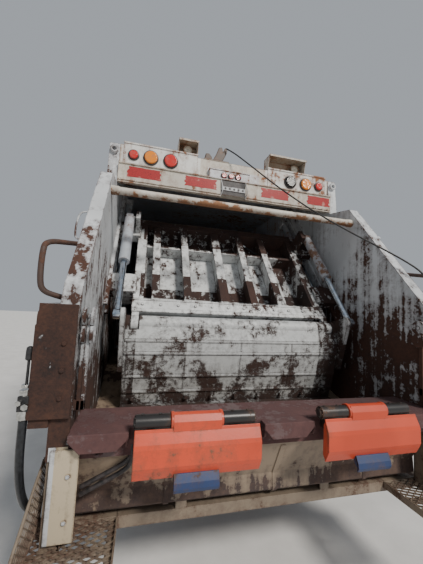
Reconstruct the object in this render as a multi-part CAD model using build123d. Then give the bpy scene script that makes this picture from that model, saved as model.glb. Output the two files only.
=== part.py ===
from build123d import *
import math
import os

# Rear-loading refuse truck with a tilting cab and one driven rear axle.
# Millimetres. X to the truck's right, Y forward, Z up, the floor at Z = 0.

# Overall size and the shared planes
half_length = 4350
half_width = 1220
rail_top = 1000
rail_height = 270
rail_outer = 430
rail_flange = 85
rail_web = 10
rail_rear_y = -2000
rail_front_y = 4130

# Wheels and axles
tyre_radius = 515
tyre_width = 270
rim_radius = 290
rim_width = 210
rim_skin = 12
rim_lip = 14
front_axle_y = 3000
rear_axle_y = -1450
front_track = 2060
twin_outer_x = 1078
twin_inner_x = 770
kingpin_x = 850
kingpin_radius = 25
spindle_radius = 42
hub_radius = 110
fit = 0.5
running_gap = 10

# Collector body
wall_inner = 1052
wall_outer = 1140
rib_outer = 1180
floor_low = 1100
floor_thick = 40
body_rear_y = -2030
body_front_y = 2150
roof_edge_z = 3050
roof_crown = 70
roof_thick = 40

# Tailgate, measured forward from the cart lifter axis
lifter_y = -4050
lifter_z = 1134
gate_front = 2010
gate_hinge_z = 3190
gate_hinge_y = -2000
gate_hinge_radius = 22
gate_open_deg = 85
gate_top_z = 3095

# Packer: hinge of the sweep panel at rest, and the line of the slide
sweep_y = 800
sweep_z = 1520
slide_deg = 53
sweep_tip = 612
trough_radius = 640
trough_thick = 30
slide_half = 850
slide_length = 1250
slide_travel = 550

# Cab
cab_half = 1200
cab_rear_y = 2500
cab_front_y = 4270
cab_skin = 60
cab_floor_z = 1120
cab_skirt_z = 840
cab_apron_z = 870
cab_skirt_y = 3640
cab_top_z = 2850
cab_hinge_y = 4150
cab_hinge_z = 880
door_front_y = 3975
door_rear_y = 3050
door_low_z = 1190
door_high_z = 2620
door_gap = 8


def block(x0, x1, y0, y1, z0, z1):
    """A box between two corners."""
    size = Box(abs(x1 - x0), abs(y1 - y0), abs(z1 - z0))
    return Pos((x0 + x1) / 2, (y0 + y1) / 2, (z0 + z1) / 2) * size


def rod(start, end, radius):
    """A round bar from one point to another."""
    way = Vector(*end) - Vector(*start)
    plane = Plane(origin=start, z_dir=way)
    return plane * Cylinder(radius, way.length, align=(Align.CENTER, Align.CENTER, Align.MIN))


def side_shape(outline, x0, x1):
    """A side outline of (y, z) points or edges, extruded across the truck."""
    face = make_face(Polyline(*outline, close=True)) if isinstance(outline, list) else make_face(outline)
    return Pos(min(x0, x1), 0, 0) * extrude(Plane.YZ * face, amount=abs(x1 - x0))


def front_shape(outline, y0, y1):
    """A front outline of (x, z) points or edges, extruded along the truck."""
    face = make_face(Polyline(*outline, close=True)) if isinstance(outline, list) else make_face(outline)
    return Pos(0, max(y0, y1), 0) * extrude(Plane.XZ * face, amount=abs(y1 - y0))


def mirrored(shape):
    """The same piece on the other side of the truck."""
    return mirror(shape, about=Plane.YZ)


def gate_point(forward, up):
    """A point of the tailgate's side view, from its distance ahead of the lifter axis."""
    return (lifter_y + forward, up)


def slide_point(along, off):
    """A point of the side view in the slide's own axes: up its track, and off it to the rear."""
    turn = math.radians(slide_deg)
    return (
        lifter_y + sweep_y + along * math.cos(turn) - off * math.sin(turn),
        sweep_z + along * math.sin(turn) + off * math.cos(turn),
    )


def slide_bar(along0, along1, off0, off1, x0, x1):
    """A bar laid along the slide's track."""
    corners = ((along0, off0), (along1, off0), (along1, off1), (along0, off1))
    return side_shape([slide_point(a, o) for a, o in corners], x0, x1)


def slide_rod(along0, along1, off, x, radius):
    """A round bar laid along the slide's track."""
    start, end = slide_point(along0, off), slide_point(along1, off)
    return rod((x, *start), (x, *end), radius)


def cross_rod(point, x0, x1, radius):
    """A round bar across the truck at a point of the side view."""
    return rod((x0, *point), (x1, *point), radius)


parts = {}


# Chassis frame: two channel rails and the crossmembers between them
def chassis_frame():
    channel = [
        (rail_outer, rail_top - rail_height),
        (rail_outer, rail_top),
        (rail_outer - rail_flange, rail_top),
        (rail_outer - rail_flange, rail_top - rail_web),
        (rail_outer - rail_web, rail_top - rail_web),
        (rail_outer - rail_web, rail_top - rail_height + rail_web),
        (rail_outer - rail_flange, rail_top - rail_height + rail_web),
        (rail_outer - rail_flange, rail_top - rail_height),
    ]
    rail = front_shape(channel, rail_rear_y, rail_front_y)
    frame = rail + mirrored(rail)
    inside = rail_outer - rail_web
    member_low, member_high, member_long = 800, 950, 90
    for y in (-1955, -820, 150, 1250, 3880):
        member = block(-inside, inside, y - member_long / 2, y + member_long / 2, member_low, member_high)
        bore = block(-inside, inside, y - member_long / 2 + rail_web, y + member_long / 2 - rail_web,
                     member_low + rail_web, member_high - rail_web)
        frame += member - bore
    ear_low = 700
    ear_thick = 20
    ear_round = 40
    for side in (-1, 1):
        x = side * (rail_outer + ear_thick)
        ear = side_shape([(3940, ear_low + 60), (cab_hinge_y, cab_hinge_z - ear_round),
                          (cab_hinge_y, cab_hinge_z + ear_round), (3940, rail_top)], x, side * rail_outer)
        ear += cross_rod((cab_hinge_y, cab_hinge_z), x, side * rail_outer, ear_round)
        frame += ear + cross_rod((cab_hinge_y, cab_hinge_z), x, x + side * 70, 18)
    return frame


nose_long = 300
nose_z = 560


# Powertrain: the engine as a plain block, gearbox, and the shaft to the rear axle
def powertrain():
    engine_half, engine_low, engine_high = 325, 640, 1070
    engine_rear, engine_front = 2650, 3560
    engine = block(-engine_half, engine_half, engine_rear, engine_front, engine_low, engine_high)
    inside = rail_outer - rail_web
    for y in (2800, 3420):
        engine += block(-inside, inside, y - 50, y + 50, 850, 900)
    gearbox_rear = 1950
    gearbox = rod((0, engine_rear, 830), (0, gearbox_rear, 790), 200)
    shaft = rod((0, gearbox_rear + 20, 790), (0, rear_axle_y + nose_long - 60, nose_z), 48)
    shaft -= block(-100, 100, rear_axle_y, rear_axle_y + nose_long, 0, rail_top)
    return engine + gearbox + shaft


def leaf_spring(x, y, z_seat, half_span, rise, width):
    """A curved stack of leaves from its seat on the axle up to its two eyes."""
    stack = 44
    low = ThreePointArc((y - half_span, z_seat + rise), (y, z_seat), (y + half_span, z_seat + rise))
    high = ThreePointArc((y + half_span, z_seat + rise + stack), (y, z_seat + stack),
                         (y - half_span, z_seat + rise + stack))
    ends = [Line(low @ 1, high @ 0), Line(high @ 1, low @ 0)]
    return side_shape(low + high + ends, x - width / 2, x + width / 2)


# Front axle: dropped beam with the springs and their hangers
def front_axle():
    beam_low, beam_high, beam_deep = 415, 500, 55
    eye_half = 62
    end_low = tyre_radius - eye_half
    end_high = tyre_radius + eye_half
    outline = [(-kingpin_x, end_high), (-640, end_high), (-520, beam_high), (520, beam_high), (640, end_high),
               (kingpin_x, end_high), (kingpin_x, end_low), (640, end_low), (520, beam_low), (-520, beam_low),
               (-640, end_low), (-kingpin_x, end_low)]
    axle = front_shape(outline, front_axle_y - beam_deep, front_axle_y + beam_deep)
    spring_x = rail_outer - rail_flange / 2
    half_span, rise = 620, 120
    eye_z = beam_high + rise + 22
    for side in (-1, 1):
        eye = (side * kingpin_x, front_axle_y, end_low)
        axle += rod(eye, (side * kingpin_x, front_axle_y, end_high), 58)
        axle -= rod(eye, (side * kingpin_x, front_axle_y, end_high), kingpin_radius + fit)
        axle += leaf_spring(side * spring_x, front_axle_y, beam_high, half_span, rise, 70)
        for y in (front_axle_y - half_span, front_axle_y + half_span):
            axle += block(side * spring_x - 35, side * spring_x + 35, y - 40, y + 40, eye_z - 40,
                          rail_top - rail_height)
    return axle


# Rear axle: tube, differential housing, springs and hangers
def rear_axle():
    tube_radius, bowl_radius = 75, 205
    flange_x = 560
    axle = rod((-flange_x, rear_axle_y, tyre_radius), (flange_x, rear_axle_y, tyre_radius), tube_radius)
    axle += Pos(0, rear_axle_y, tyre_radius) * Sphere(bowl_radius)
    axle += rod((0, rear_axle_y, nose_z), (0, rear_axle_y + nose_long, nose_z), 90)
    spring_x, seat = 492, tyre_radius + tube_radius
    half_span, rise = 640, 70
    for side in (-1, 1):
        axle += rod((side * flange_x, rear_axle_y, tyre_radius),
                    (side * (twin_outer_x + 30), rear_axle_y, tyre_radius), spindle_radius)
        axle += block(side * spring_x - 45, side * spring_x + 45, rear_axle_y - 80, rear_axle_y + 80,
                      tyre_radius, seat + 20)
        axle += leaf_spring(side * spring_x, rear_axle_y, seat, half_span, rise, 80)
        for y in (rear_axle_y - half_span + 40, rear_axle_y + half_span - 40):
            axle += block(side * rail_outer, side * (spring_x + 40), y - 45, y + 45, seat + rise - 20, rail_top - 60)
    return axle


# Steering knuckles: fork round the beam's eye, kingpin and wheel spindle
def knuckle():
    eye_half = 62
    lug_thick, gap = 34, 3
    low = tyre_radius - eye_half - gap - lug_thick
    high = tyre_radius + eye_half + gap + lug_thick
    lug_radius = 52
    fork_x = kingpin_x + 66
    piece = rod((kingpin_x, front_axle_y, low), (kingpin_x, front_axle_y, high), kingpin_radius)
    for z in (low, high - lug_thick):
        piece += rod((kingpin_x, front_axle_y, z), (kingpin_x, front_axle_y, z + lug_thick), lug_radius)
        piece += block(kingpin_x, fork_x, front_axle_y - 40, front_axle_y + 40, z, z + lug_thick)
    piece += block(fork_x, fork_x + 24, front_axle_y - 60, front_axle_y + 60, low, high)
    piece += rod((fork_x, front_axle_y, tyre_radius), (front_track / 2 + 100, front_axle_y, tyre_radius),
                 spindle_radius)
    piece += block(kingpin_x - 20, kingpin_x + 20, front_axle_y - 190, front_axle_y - 40, low, low + lug_thick)
    return piece


def tyre(x):
    """A truck tyre: bead, rounded side wall, shoulder and flat tread."""
    half = tyre_width / 2
    bead = rim_width / 2
    tread_half = half - 22
    shoulder = tyre_radius - 26
    flank = (half, (rim_radius + tyre_radius) / 2)
    bead_top = rim_radius + rim_lip + 2
    base = Polyline((-bead, bead_top), (-bead, rim_radius), (bead, rim_radius), (bead, bead_top))
    right = ThreePointArc((bead, bead_top), flank, (half - 4, shoulder))
    right_shoulder = Line((half - 4, shoulder), (tread_half, tyre_radius))
    tread = Line((tread_half, tyre_radius), (-tread_half, tyre_radius))
    left_shoulder = Line((-tread_half, tyre_radius), (4 - half, shoulder))
    left = ThreePointArc((4 - half, shoulder), (-half, flank[1]), (-bead, bead_top))
    face = make_face(base + [right, right_shoulder, tread, left_shoulder, left])
    ring = revolve(face, axis=Axis.X, revolution_arc=360)
    return Pos(x, 0, 0) * ring


def rim(x, dish, bore):
    """A disc wheel: barrel with lips that seat the tyre, dished disc with hand holes, hub."""
    lip = rim_lip
    half = rim_width / 2
    outer = rim_radius - fit
    barrel = [(-half - lip, outer + lip), (-half, outer + lip), (-half, outer), (half, outer),
              (half, outer + lip), (half + lip, outer + lip), (half + lip, outer - rim_skin),
              (-half - lip, outer - rim_skin)]
    ring = revolve(make_face(Polyline(*barrel, close=True)), axis=Axis.X)
    well = outer - rim_skin
    disc = [(0, well), (dish, 170), (dish, hub_radius), (dish + rim_skin, hub_radius),
            (dish + rim_skin, 174), (rim_skin, well)]
    plate = revolve(make_face(Polyline(*disc, close=True)), axis=Axis.X)
    hole_radius, hole_place, hole_count = 26, 214, 8
    for turn in range(hole_count):
        angle = math.radians(360 / hole_count * turn)
        y, z = hole_place * math.cos(angle), hole_place * math.sin(angle)
        plate -= rod((-150, y, z), (150, y, z), hole_radius)
    hub_long = 95
    hub = rod((dish - hub_long / 2, 0, 0), (dish + hub_long / 2, 0, 0), hub_radius)
    hub -= rod((dish - hub_long, 0, 0), (dish + hub_long, 0, 0), bore)
    return Pos(x, 0, 0) * (ring + plate + hub)


def hub_cap(x, radius, long):
    """The cap that closes a hub over the end of its spindle."""
    wall = 12
    cap = rod((x, 0, 0), (x + long, 0, 0), radius)
    return cap - rod((x, 0, 0), (x + long - wall, 0, 0), radius - wall)


def wheels():
    bore = spindle_radius + fit
    front_x = front_track / 2
    front_dish = 62
    front = rim(front_x, front_dish, bore)
    front += hub_cap(front_x + front_dish + 47, 88, 60)
    place = Pos(0, front_axle_y, tyre_radius)
    parts["front_tyre_right"] = place * tyre(front_x)
    parts["front_rim_right"] = place * front
    rear_dish = 92
    rear = rim(twin_inner_x, rear_dish, bore)
    outer = mirror(rim(0, rear_dish, bore), about=Plane.YZ)
    rear += Pos(twin_outer_x, 0, 0) * outer
    drum_in, drum_out = twin_inner_x + rear_dish + 40, twin_outer_x - rear_dish - 40
    spacer = rod((drum_in, 0, 0), (drum_out, 0, 0), hub_radius) - rod((drum_in, 0, 0), (drum_out, 0, 0), bore)
    rear += spacer
    rear += hub_cap(twin_outer_x - rear_dish + 47, 96, 100)
    place = Pos(0, rear_axle_y, tyre_radius)
    parts["rear_tyres_right"] = place * (tyre(twin_inner_x) + tyre(twin_outer_x))
    parts["rear_rims_right"] = place * rear
    for name in ("front_tyre", "front_rim", "rear_tyres", "rear_rims"):
        parts[f"{name}_left"] = mirrored(parts[f"{name}_right"])


# Tanks and boxes hung on the frame rails
def side_tanks():
    tank_radius, tank_x, tank_z = 270, 760, 700
    tanks = rod((tank_x, 600, tank_z), (tank_x, 1650, tank_z), tank_radius)
    for y in (750, 1500):
        tanks += block(rail_outer, tank_x - 200, y - 30, y + 30, 800, 880)
    box = block(-1090, -520, 650, 1250, 560, 960)
    for y in (750, 1150):
        box += block(-520, -rail_outer, y - 30, y + 30, 800, 880)
    air = rod((-660, 1500, 800), (-660, 2150, 800), 130)
    for y in (1650, 2000):
        air += block(-560, -rail_outer, y - 25, y + 25, 780, 830)
    return Compound(children=[tanks, box, air])


# Rear mudguards: a rolled sheet over each pair of wheels, on two arms
def mudguards():
    inner, sheet = 548, 6
    x0, x1 = 610, half_width - 4
    ring = rod((x0, rear_axle_y, tyre_radius), (x1, rear_axle_y, tyre_radius), inner + sheet)
    ring -= rod((x0, rear_axle_y, tyre_radius), (x1, rear_axle_y, tyre_radius), inner)
    ring -= block(x0, x1, rear_axle_y - 700, rear_axle_y + 700, -100, tyre_radius + 120)
    for y in (rear_axle_y - 440, rear_axle_y + 440):
        z = tyre_radius + 330
        ring += rod((rail_outer, y, z + 20), (x0 + 20, y, z + 20), 18) - rod(
            (0, rear_axle_y, tyre_radius), (half_width, rear_axle_y, tyre_radius), inner)
    return ring + mirrored(ring)


# Front bumper with the entry steps behind its ends
def bumper():
    low, high = 480, 800
    back = half_length - 80
    bar = block(-cab_half, cab_half, back, half_length, low, high)
    bar = fillet(bar.edges().filter_by(Axis.Z).group_by(Axis.Y)[-1], 60)
    for side in (-1, 1):
        bar += block(side * 860, side * cab_half, cab_skirt_y, back, low, low + 40)
        bar += block(side * (cab_half - 30), side * cab_half, cab_skirt_y, back, low, high - 35)
        bar += block(side * 860, side * cab_half, cab_skirt_y, cab_skirt_y + 30, low, high)
        bar += block(side * (rail_outer - rail_flange), side * rail_outer, rail_front_y, back, 740, 770)
        bar += block(side * rail_outer, side * 860, cab_skirt_y, cab_skirt_y + 30, 740, high)
        bar -= block(side * 560, side * 740, back - 1, half_length + 1, 580, 700)
    eye_x = rail_outer - rail_flange / 2
    for side in (-1, 1):
        bar -= rod((side * eye_x, back - 200, 620), (side * eye_x, half_length + 10, 620), tow_radius)
    return bar


tow_radius = 25


# Collector body: floor, ribbed sides, arched roof and front wall
def body_floor():
    floor_top = floor_low + floor_thick
    floor = block(-wall_outer, wall_outer, body_rear_y, body_front_y, floor_low, floor_top)
    for side in (-1, 1):
        floor += block(side * (rail_outer - rail_flange), side * rail_outer, rail_rear_y, body_front_y,
                       rail_top, floor_low)
        for y in (-660, -150, 360, 870, 1380, 1890):
            floor += block(side * rail_outer, side * wall_outer, y - 30, y + 30, floor_low - 60, floor_low)
    return floor


def body_side():
    floor_top = floor_low + floor_thick
    side = block(wall_inner, wall_outer, body_rear_y, body_front_y, floor_top, roof_edge_z)
    post, gap = 80, 560
    side += block(wall_outer, rib_outer, body_rear_y + 1060, body_front_y, floor_top, floor_top + 110)
    side += block(wall_outer, rib_outer, body_rear_y + 1060, body_front_y, roof_edge_z - 110, roof_edge_z)
    for index in range(6):
        y = body_front_y - post / 2 - index * gap
        side += block(wall_outer, rib_outer, y - post / 2, y + post / 2, floor_top + 110, roof_edge_z - 110)
    side += cross_rod(lift_base, wall_outer, lift_x + 32, lift_pin)
    return side


def body_roof():
    low = ThreePointArc((-wall_outer, roof_edge_z), (0, roof_edge_z + roof_crown), (wall_outer, roof_edge_z))
    high = ThreePointArc((wall_outer, roof_edge_z + roof_thick), (0, roof_edge_z + roof_crown + roof_thick),
                         (-wall_outer, roof_edge_z + roof_thick))
    ends = [Line(low @ 1, high @ 0), Line(high @ 1, low @ 0)]
    roof = front_shape(low + high + ends, body_rear_y, body_front_y)
    for side in (-1, 1):
        for x in (gate_ear_x - 46, gate_ear_x + 26):
            roof += side_shape([(body_rear_y, roof_edge_z + 60), (body_rear_y, gate_hinge_z - 20),
                                (gate_hinge_y - 30, gate_hinge_z + 30), (gate_hinge_y + 40, gate_hinge_z + 30),
                                (gate_hinge_y + 260, roof_edge_z + 90), (gate_hinge_y + 260, roof_edge_z + 60)],
                               side * x, side * (x + 20))
        roof += cross_rod((gate_hinge_y, gate_hinge_z), side * (gate_ear_x - 30), side * (gate_ear_x + 30),
                          gate_hinge_radius)
    return roof


gate_ear_x = 620


def body_front():
    thick = 60
    floor_top = floor_low + floor_thick
    wall = block(-wall_inner, wall_inner, body_front_y - thick, body_front_y, floor_top, roof_edge_z)
    return wall


# Tailgate lift cylinders, between the body's sides and the tailgate
lift_x = 1184
lift_pin = 18
lift_base = (-1050, 2350)
lift_eye = (-2330, 2700)
lift_barrel_long = 820
lift_stem_from = 108


def along(start, end, distance):
    """The point at a distance from start towards end in the side view."""
    span = math.dist(start, end)
    return tuple(s + (e - s) * distance / span for s, e in zip(start, end))


def cylinder_pair(base, eye, x, barrel_radius, rod_radius, barrel_long, stem_from, pin_radius, pin_inner, eye_half):
    """A hydraulic cylinder: barrel with its base eye, and rod with its end eye and pin."""
    start = along(base, eye, pin_radius + 4)
    gland = along(base, eye, barrel_long)
    half_eye = barrel_radius * 0.7
    barrel = rod((x, *start), (x, *gland), barrel_radius)
    barrel += cross_rod(base, x - half_eye, x + half_eye, pin_radius + 20)
    barrel -= cross_rod(base, x - 2 * half_eye, x + 2 * half_eye, pin_radius + fit)
    inner = rod((x, *along(base, eye, pin_radius + 60)), (x, *along(base, eye, barrel_long + 1)), rod_radius + fit)
    barrel -= inner
    stem = rod((x, *along(base, eye, stem_from)), (x, *along(base, eye, math.dist(base, eye) - pin_radius - 8)),
               rod_radius)
    stem += cross_rod(eye, x - eye_half, x + eye_half, pin_radius + 16)
    stem += cross_rod(eye, pin_inner, x + eye_half + 4, pin_radius)
    return barrel, stem


# Tailgate walls: sloping rear edge, tracks for the slide, corner post
def tailgate_wall():
    low = trough_radius + trough_thick
    arc_front, arc_rear = 315, 226
    centre = (lifter_y + sweep_y, sweep_z)

    def on_arc(degrees):
        turn = math.radians(degrees)
        return (centre[0] + low * math.cos(turn), centre[1] + low * math.sin(turn))

    bottom = ThreePointArc(on_arc(arc_front), on_arc(270), on_arc(arc_rear))
    outline = [on_arc(arc_rear), gate_point(200, 960), gate_point(60, 960), gate_point(60, 1640), gate_point(100, 1750),
               gate_point(790, 2640), gate_point(1070, 2690), gate_point(1110, 3060), gate_point(gate_front, gate_top_z),
               gate_point(gate_front, floor_low), on_arc(arc_front)]
    wall = side_shape(bottom + Polyline(*outline), wall_inner, wall_outer)
    post = [gate_point(50, 1110), gate_point(50, 1655), gate_point(330, 1655), gate_point(420, 1110)]
    wall += side_shape(post, wall_outer, half_width)
    track_from, track_to = 120, 1790
    bar_thick, shoe_half, track_gap = 22, 42, 5
    for off in (shoe_half + track_gap, -shoe_half - track_gap - bar_thick):
        wall += slide_bar(track_from, track_to, off, off + bar_thick, wall_inner - 30, wall_inner)
    anchor = slide_bar(1680, 1760, slide_cylinder_off - 42, slide_cylinder_off + 42, wall_inner - 96, wall_inner)
    wall += anchor
    for forward in (900, 1400, 1900):
        wall += block(wall_outer, rib_outer, lifter_y + forward - 40, lifter_y + forward + 40, 1140, 2200)
    wall += block(wall_outer, wall_outer + 8, lift_eye[0] - 60, lift_eye[0] + 60, lift_eye[1] - 60, lift_eye[1] + 60)
    return wall


slide_cylinder_off = -135
slide_cylinder_x = 1000
slide_barrel_radius = 38
slide_rod_radius = 22
slide_barrel_from = 950


def hopper_trough():
    centre = (lifter_y + sweep_y, sweep_z)
    front_deg, rear_deg = 315, 223

    def on_arc(radius, degrees):
        turn = math.radians(degrees)
        return (centre[0] + radius * math.cos(turn), centre[1] + radius * math.sin(turn))

    outer = trough_radius + trough_thick
    inside = ThreePointArc(on_arc(trough_radius, rear_deg), on_arc(trough_radius, 270),
                           on_arc(trough_radius, front_deg))
    ahead = Polyline(on_arc(trough_radius, front_deg), gate_point(gate_front, floor_low + floor_thick),
                     gate_point(gate_front, floor_low), on_arc(outer, front_deg))
    outside = ThreePointArc(on_arc(outer, front_deg), on_arc(outer, 270), on_arc(outer, rear_deg))
    back = Line(on_arc(outer, rear_deg), on_arc(trough_radius, rear_deg))
    return side_shape(inside + ahead + outside + back, -wall_inner, wall_inner)


def hopper_sill():
    """The loading sill: top plate, rolled nose and face, closed to the trough's edge."""
    outer = trough_radius + trough_thick
    turn = math.radians(223)
    centre = (lifter_y + sweep_y, sweep_z)
    edge_in = (centre[0] + trough_radius * math.cos(turn), centre[1] + trough_radius * math.sin(turn))
    edge_out = (centre[0] + outer * math.cos(turn), centre[1] + outer * math.sin(turn))
    top = 1085
    outline = [edge_in, (edge_in[0], top), gate_point(66, top), gate_point(66, 960), gate_point(96, 960),
               gate_point(96, top - 24), (edge_out[0] - 20, top - 24), edge_out]
    return side_shape(outline, -wall_inner, wall_inner)


# Tailgate roof with the beam and the two light boxes at its rear end
def tailgate_roof():
    thick = 40
    top = [gate_point(1110, 3060), gate_point(gate_front, gate_top_z), gate_point(gate_front, gate_top_z - thick),
           gate_point(1150, 3060 - thick), gate_point(1150, 2720), gate_point(1060, 2720), gate_point(1060, 2870),
           gate_point(1110, 2870)]
    roof = side_shape(top, -wall_inner, wall_inner)
    for side in (-1, 1):
        roof += block(side * 360, side * 1020, lifter_y + 1106, lifter_y + 1180, 2880, 3088)
    roof += block(-140, 70, lifter_y + 1075, lifter_y + 1115, 2866, 2950)
    for side in (-1, 1):
        roof += side_shape([(gate_hinge_y - 200, gate_top_z - 20), (gate_hinge_y - 30, gate_hinge_z + 28),
                            (gate_hinge_y + 26, gate_hinge_z + 28), (gate_hinge_y + 26, gate_hinge_z - 34),
                            (lifter_y + gate_front - 2, gate_hinge_z - 34),
                            (lifter_y + gate_front - 2, gate_top_z - 20)],
                           side * (gate_ear_x - 20), side * (gate_ear_x + 20))
    return roof - cross_rod((gate_hinge_y, gate_hinge_z), -half_width, half_width, gate_hinge_radius + fit)


def top_tube():
    tube_radius, wall = 17, 5
    place = gate_point(766, 2500)
    tube = cross_rod(place, -wall_inner, wall_inner, tube_radius)
    for side in (-1, 1):
        tube += cross_rod(place, side * (wall_inner - 120), side * wall_inner, tube_radius + wall)
    return tube


lamp_rows = (
    # distance from the centre line, dome radius
    (935, 38),
    (785, 57),
    (608, 57),
)


def rear_lamps():
    lamp_z, face = 2975, lifter_y + 1106
    domes = []
    for side in (-1, 1):
        for x, radius in lamp_rows:
            body = rod((side * x, face, lamp_z), (side * x, face - 26, lamp_z), radius)
            domes.append(fillet(body.edges().group_by(Axis.Y)[0], 10))
    for x in (-105, -35, 35):
        domes.append(rod((x, lifter_y + 1075, 2910), (x, lifter_y + 1058, 2910), 22))
    return Compound(children=domes)


# Rear step: two platforms and the bar between them, on hangers under the corner posts
def rear_step():
    top, thick = 600, 40
    inner = 820
    rear = -half_length
    bar_front = lifter_y + 260
    step = block(-half_width, half_width, lifter_y + 200, bar_front, top - 60, top)
    for side in (-1, 1):
        step += block(side * inner, side * half_width, rear, bar_front, top - thick, top)
        step += block(side * 1056, side * 1136, lifter_y + 70, lifter_y + 190, top - thick, 960)
    return step


# Slide panel: box beam, skin, posts, rails and ribs, with shoes in the tracks
rib_rows = (
    # place across, width
    (-670, 25),
    (-400, 25),
    (-70, 40),
    (200, 25),
    (460, 25),
)


def slide_panel():
    back, skin = -160, 20
    beam_from, beam_to = 90, 210
    shell = slide_bar(beam_from, beam_to, back, 30, -slide_half, slide_half)
    shell += slide_bar(beam_to, slide_length, back, back + skin, -slide_half, slide_half)
    post = 84
    for side in (-1, 1):
        shell += slide_bar(beam_to, slide_length, back + skin, 20, side * (slide_half - post), side * slide_half)
        lug = slide_bar(20, beam_from, -40, 30, side * (slide_half - 60), side * (slide_half - 5))
        shell += lug + cross_rod(slide_point(0, 0), side * (slide_half - 60), side * (slide_half - 5), 58)
        shell += cross_rod(slide_point(0, 0), side * (slide_half - 60), side * 925, sweep_shaft)
        for start in (270, 960):
            shell += slide_bar(start, start + 190, -42, 42, side * (slide_half - 20), side * (wall_inner - 6))
        lug_x = slide_half + 32
        shell += slide_bar(1000, 1120, -60, 215, side * (slide_half - 10), side * lug_x)
        shell += cross_rod(sweep_top, side * lug_x, side * 985, sweep_pin)
        shell += slide_bar(300, 380, slide_cylinder_off - 34, -42, side * (slide_half - 20),
                           side * (slide_cylinder_x + 16))
    shell += slide_bar(slide_length - 80, slide_length, back + skin, 20, -slide_half, slide_half)
    shell += slide_bar(880, 910, back + skin, -20, -slide_half, slide_half)
    for x, width in rib_rows:
        shell += slide_bar(beam_to, slide_length, back + skin, 0, x - width / 2, x + width / 2)
    return shell


sweep_shaft = 40
sweep_pin = 20
sweep_cylinder_x = 938
sweep_cylinder_off = 166
sweep_top = slide_point(1063, sweep_cylinder_off)
sweep_foot = slide_point(-37, sweep_cylinder_off)
sweep_barrel_long = 590
sweep_stem_from = 350


def slide_cylinders():
    barrels, stems = [], []
    for side in (-1, 1):
        x = side * slide_cylinder_x
        barrel = slide_rod(slide_barrel_from, 1680, slide_cylinder_off, x, slide_barrel_radius)
        barrel -= slide_rod(slide_barrel_from - 1, 1600, slide_cylinder_off, x, slide_rod_radius + fit)
        barrels.append(barrel)
        stems.append(slide_rod(380, 1030, slide_cylinder_off, x, slide_rod_radius))
    return Compound(children=barrels), Compound(children=stems)


# Sweep panel: faceted box that hangs from the slide, with a hub tube and two ears
def sweep_panel():
    half = 880
    facets = [(-50, 35), (-80, -110), (-75, -200), (-40, -370), (0, -490), (40, -606), (75, -606), (120, -420),
              (140, -200), (60, -30)]
    panel = side_shape([(lifter_y + sweep_y + y, sweep_z + z) for y, z in facets], -half, half)
    hub = 62
    panel += cross_rod(slide_point(0, 0), -half, half, hub)
    ear = 32
    pin = (sweep_foot[0], sweep_foot[1])
    for side in (-1, 1):
        x0, x1 = side * half, side * (half + ear)
        plate = cross_rod(slide_point(0, 0), x0, x1, 72) + cross_rod(pin, x0, x1, 48)
        centre = slide_point(0, 0)
        plate += side_shape([(centre[0] - 30, centre[1] + 64), (pin[0] + 8, pin[1] + 47),
                             (pin[0] - 46, pin[1] - 12), (centre[0] - 84, centre[1] - 330),
                             (centre[0] + 60, centre[1] - 330), (centre[0] + 70, centre[1])], x0, x1)
        panel += plate
        notch = cross_rod(slide_point(0, 0), side * (slide_half - 66), side * (slide_half + 1), 72)
        panel -= notch
    return panel - cross_rod(slide_point(0, 0), -half_width, half_width, sweep_shaft + fit)


# Cart lifters: fixed rotary actuators on the sill, and the turning lifting plates
lifter_spans = (
    # side, outer end, sleeve from, sleeve to, inner end
    ("left", -766, -607, -356, -193),
    ("right", 193, 356, 607, 766),
)
actuator_radius = 33
core_radius = 22
sill_face = 66


def lifter_actuators():
    bodies = []
    for _, low, sleeve_low, sleeve_high, high in lifter_spans:
        core = cross_rod((lifter_y, lifter_z), low, high, core_radius)
        for x0, x1 in ((low, sleeve_low - 3), (sleeve_high + 3, high)):
            core += cross_rod((lifter_y, lifter_z), x0, x1, actuator_radius)
            foot_from = x0 + 50
            core += block(foot_from, foot_from + 40, lifter_y + 10, lifter_y + sill_face, lifter_z - 100, lifter_z - 49)
            core += block(foot_from, foot_from + 40, lifter_y - 20, lifter_y + 20, lifter_z - 100, lifter_z - 10)
        bodies.append(core)
    return Compound(children=bodies)


def cart_lifter(sleeve_low, sleeve_high, plate_low, plate_high):
    sleeve = cross_rod((lifter_y, lifter_z), sleeve_low, sleeve_high, actuator_radius + 4)
    sleeve -= cross_rod((lifter_y, lifter_z), sleeve_low, sleeve_high, core_radius + fit)
    rear = lifter_y - actuator_radius
    plate = block(plate_low, plate_high, rear - 24, rear - 14, 900, 1100)
    plate += block(plate_low, plate_high, rear - 60, rear - 14, 900, 908)
    plate += block(sleeve_low + 20, sleeve_high - 20, rear - 24, rear + 12, 1040, 1100)
    plate += block(sleeve_low + 60, sleeve_high - 60, rear - 50, rear - 24, 850, 900)
    return sleeve + plate - cross_rod((lifter_y, lifter_z), sleeve_low, sleeve_high, core_radius + fit)


# Cab: a rounded shell split into its panels, with the windows and door openings cut
def cab_outline(shrink):
    front = cab_front_y - shrink
    rear = cab_rear_y + shrink
    top = cab_top_z - shrink
    low = cab_floor_z + shrink
    return [(rear, low), (cab_skirt_y, low), (front, low), (front, 1900), (front - 170, top - 60), (front - 260, top),
            (rear, top)]


def cab_shell():
    outer = side_shape(cab_outline(0), -cab_half, cab_half)
    outer = fillet(outer.edges().filter_by(Axis.Z).group_by(Axis.Y)[-1], 140)
    inner = side_shape(cab_outline(cab_skin), cab_skin - cab_half, cab_half - cab_skin)
    return outer - inner


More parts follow.
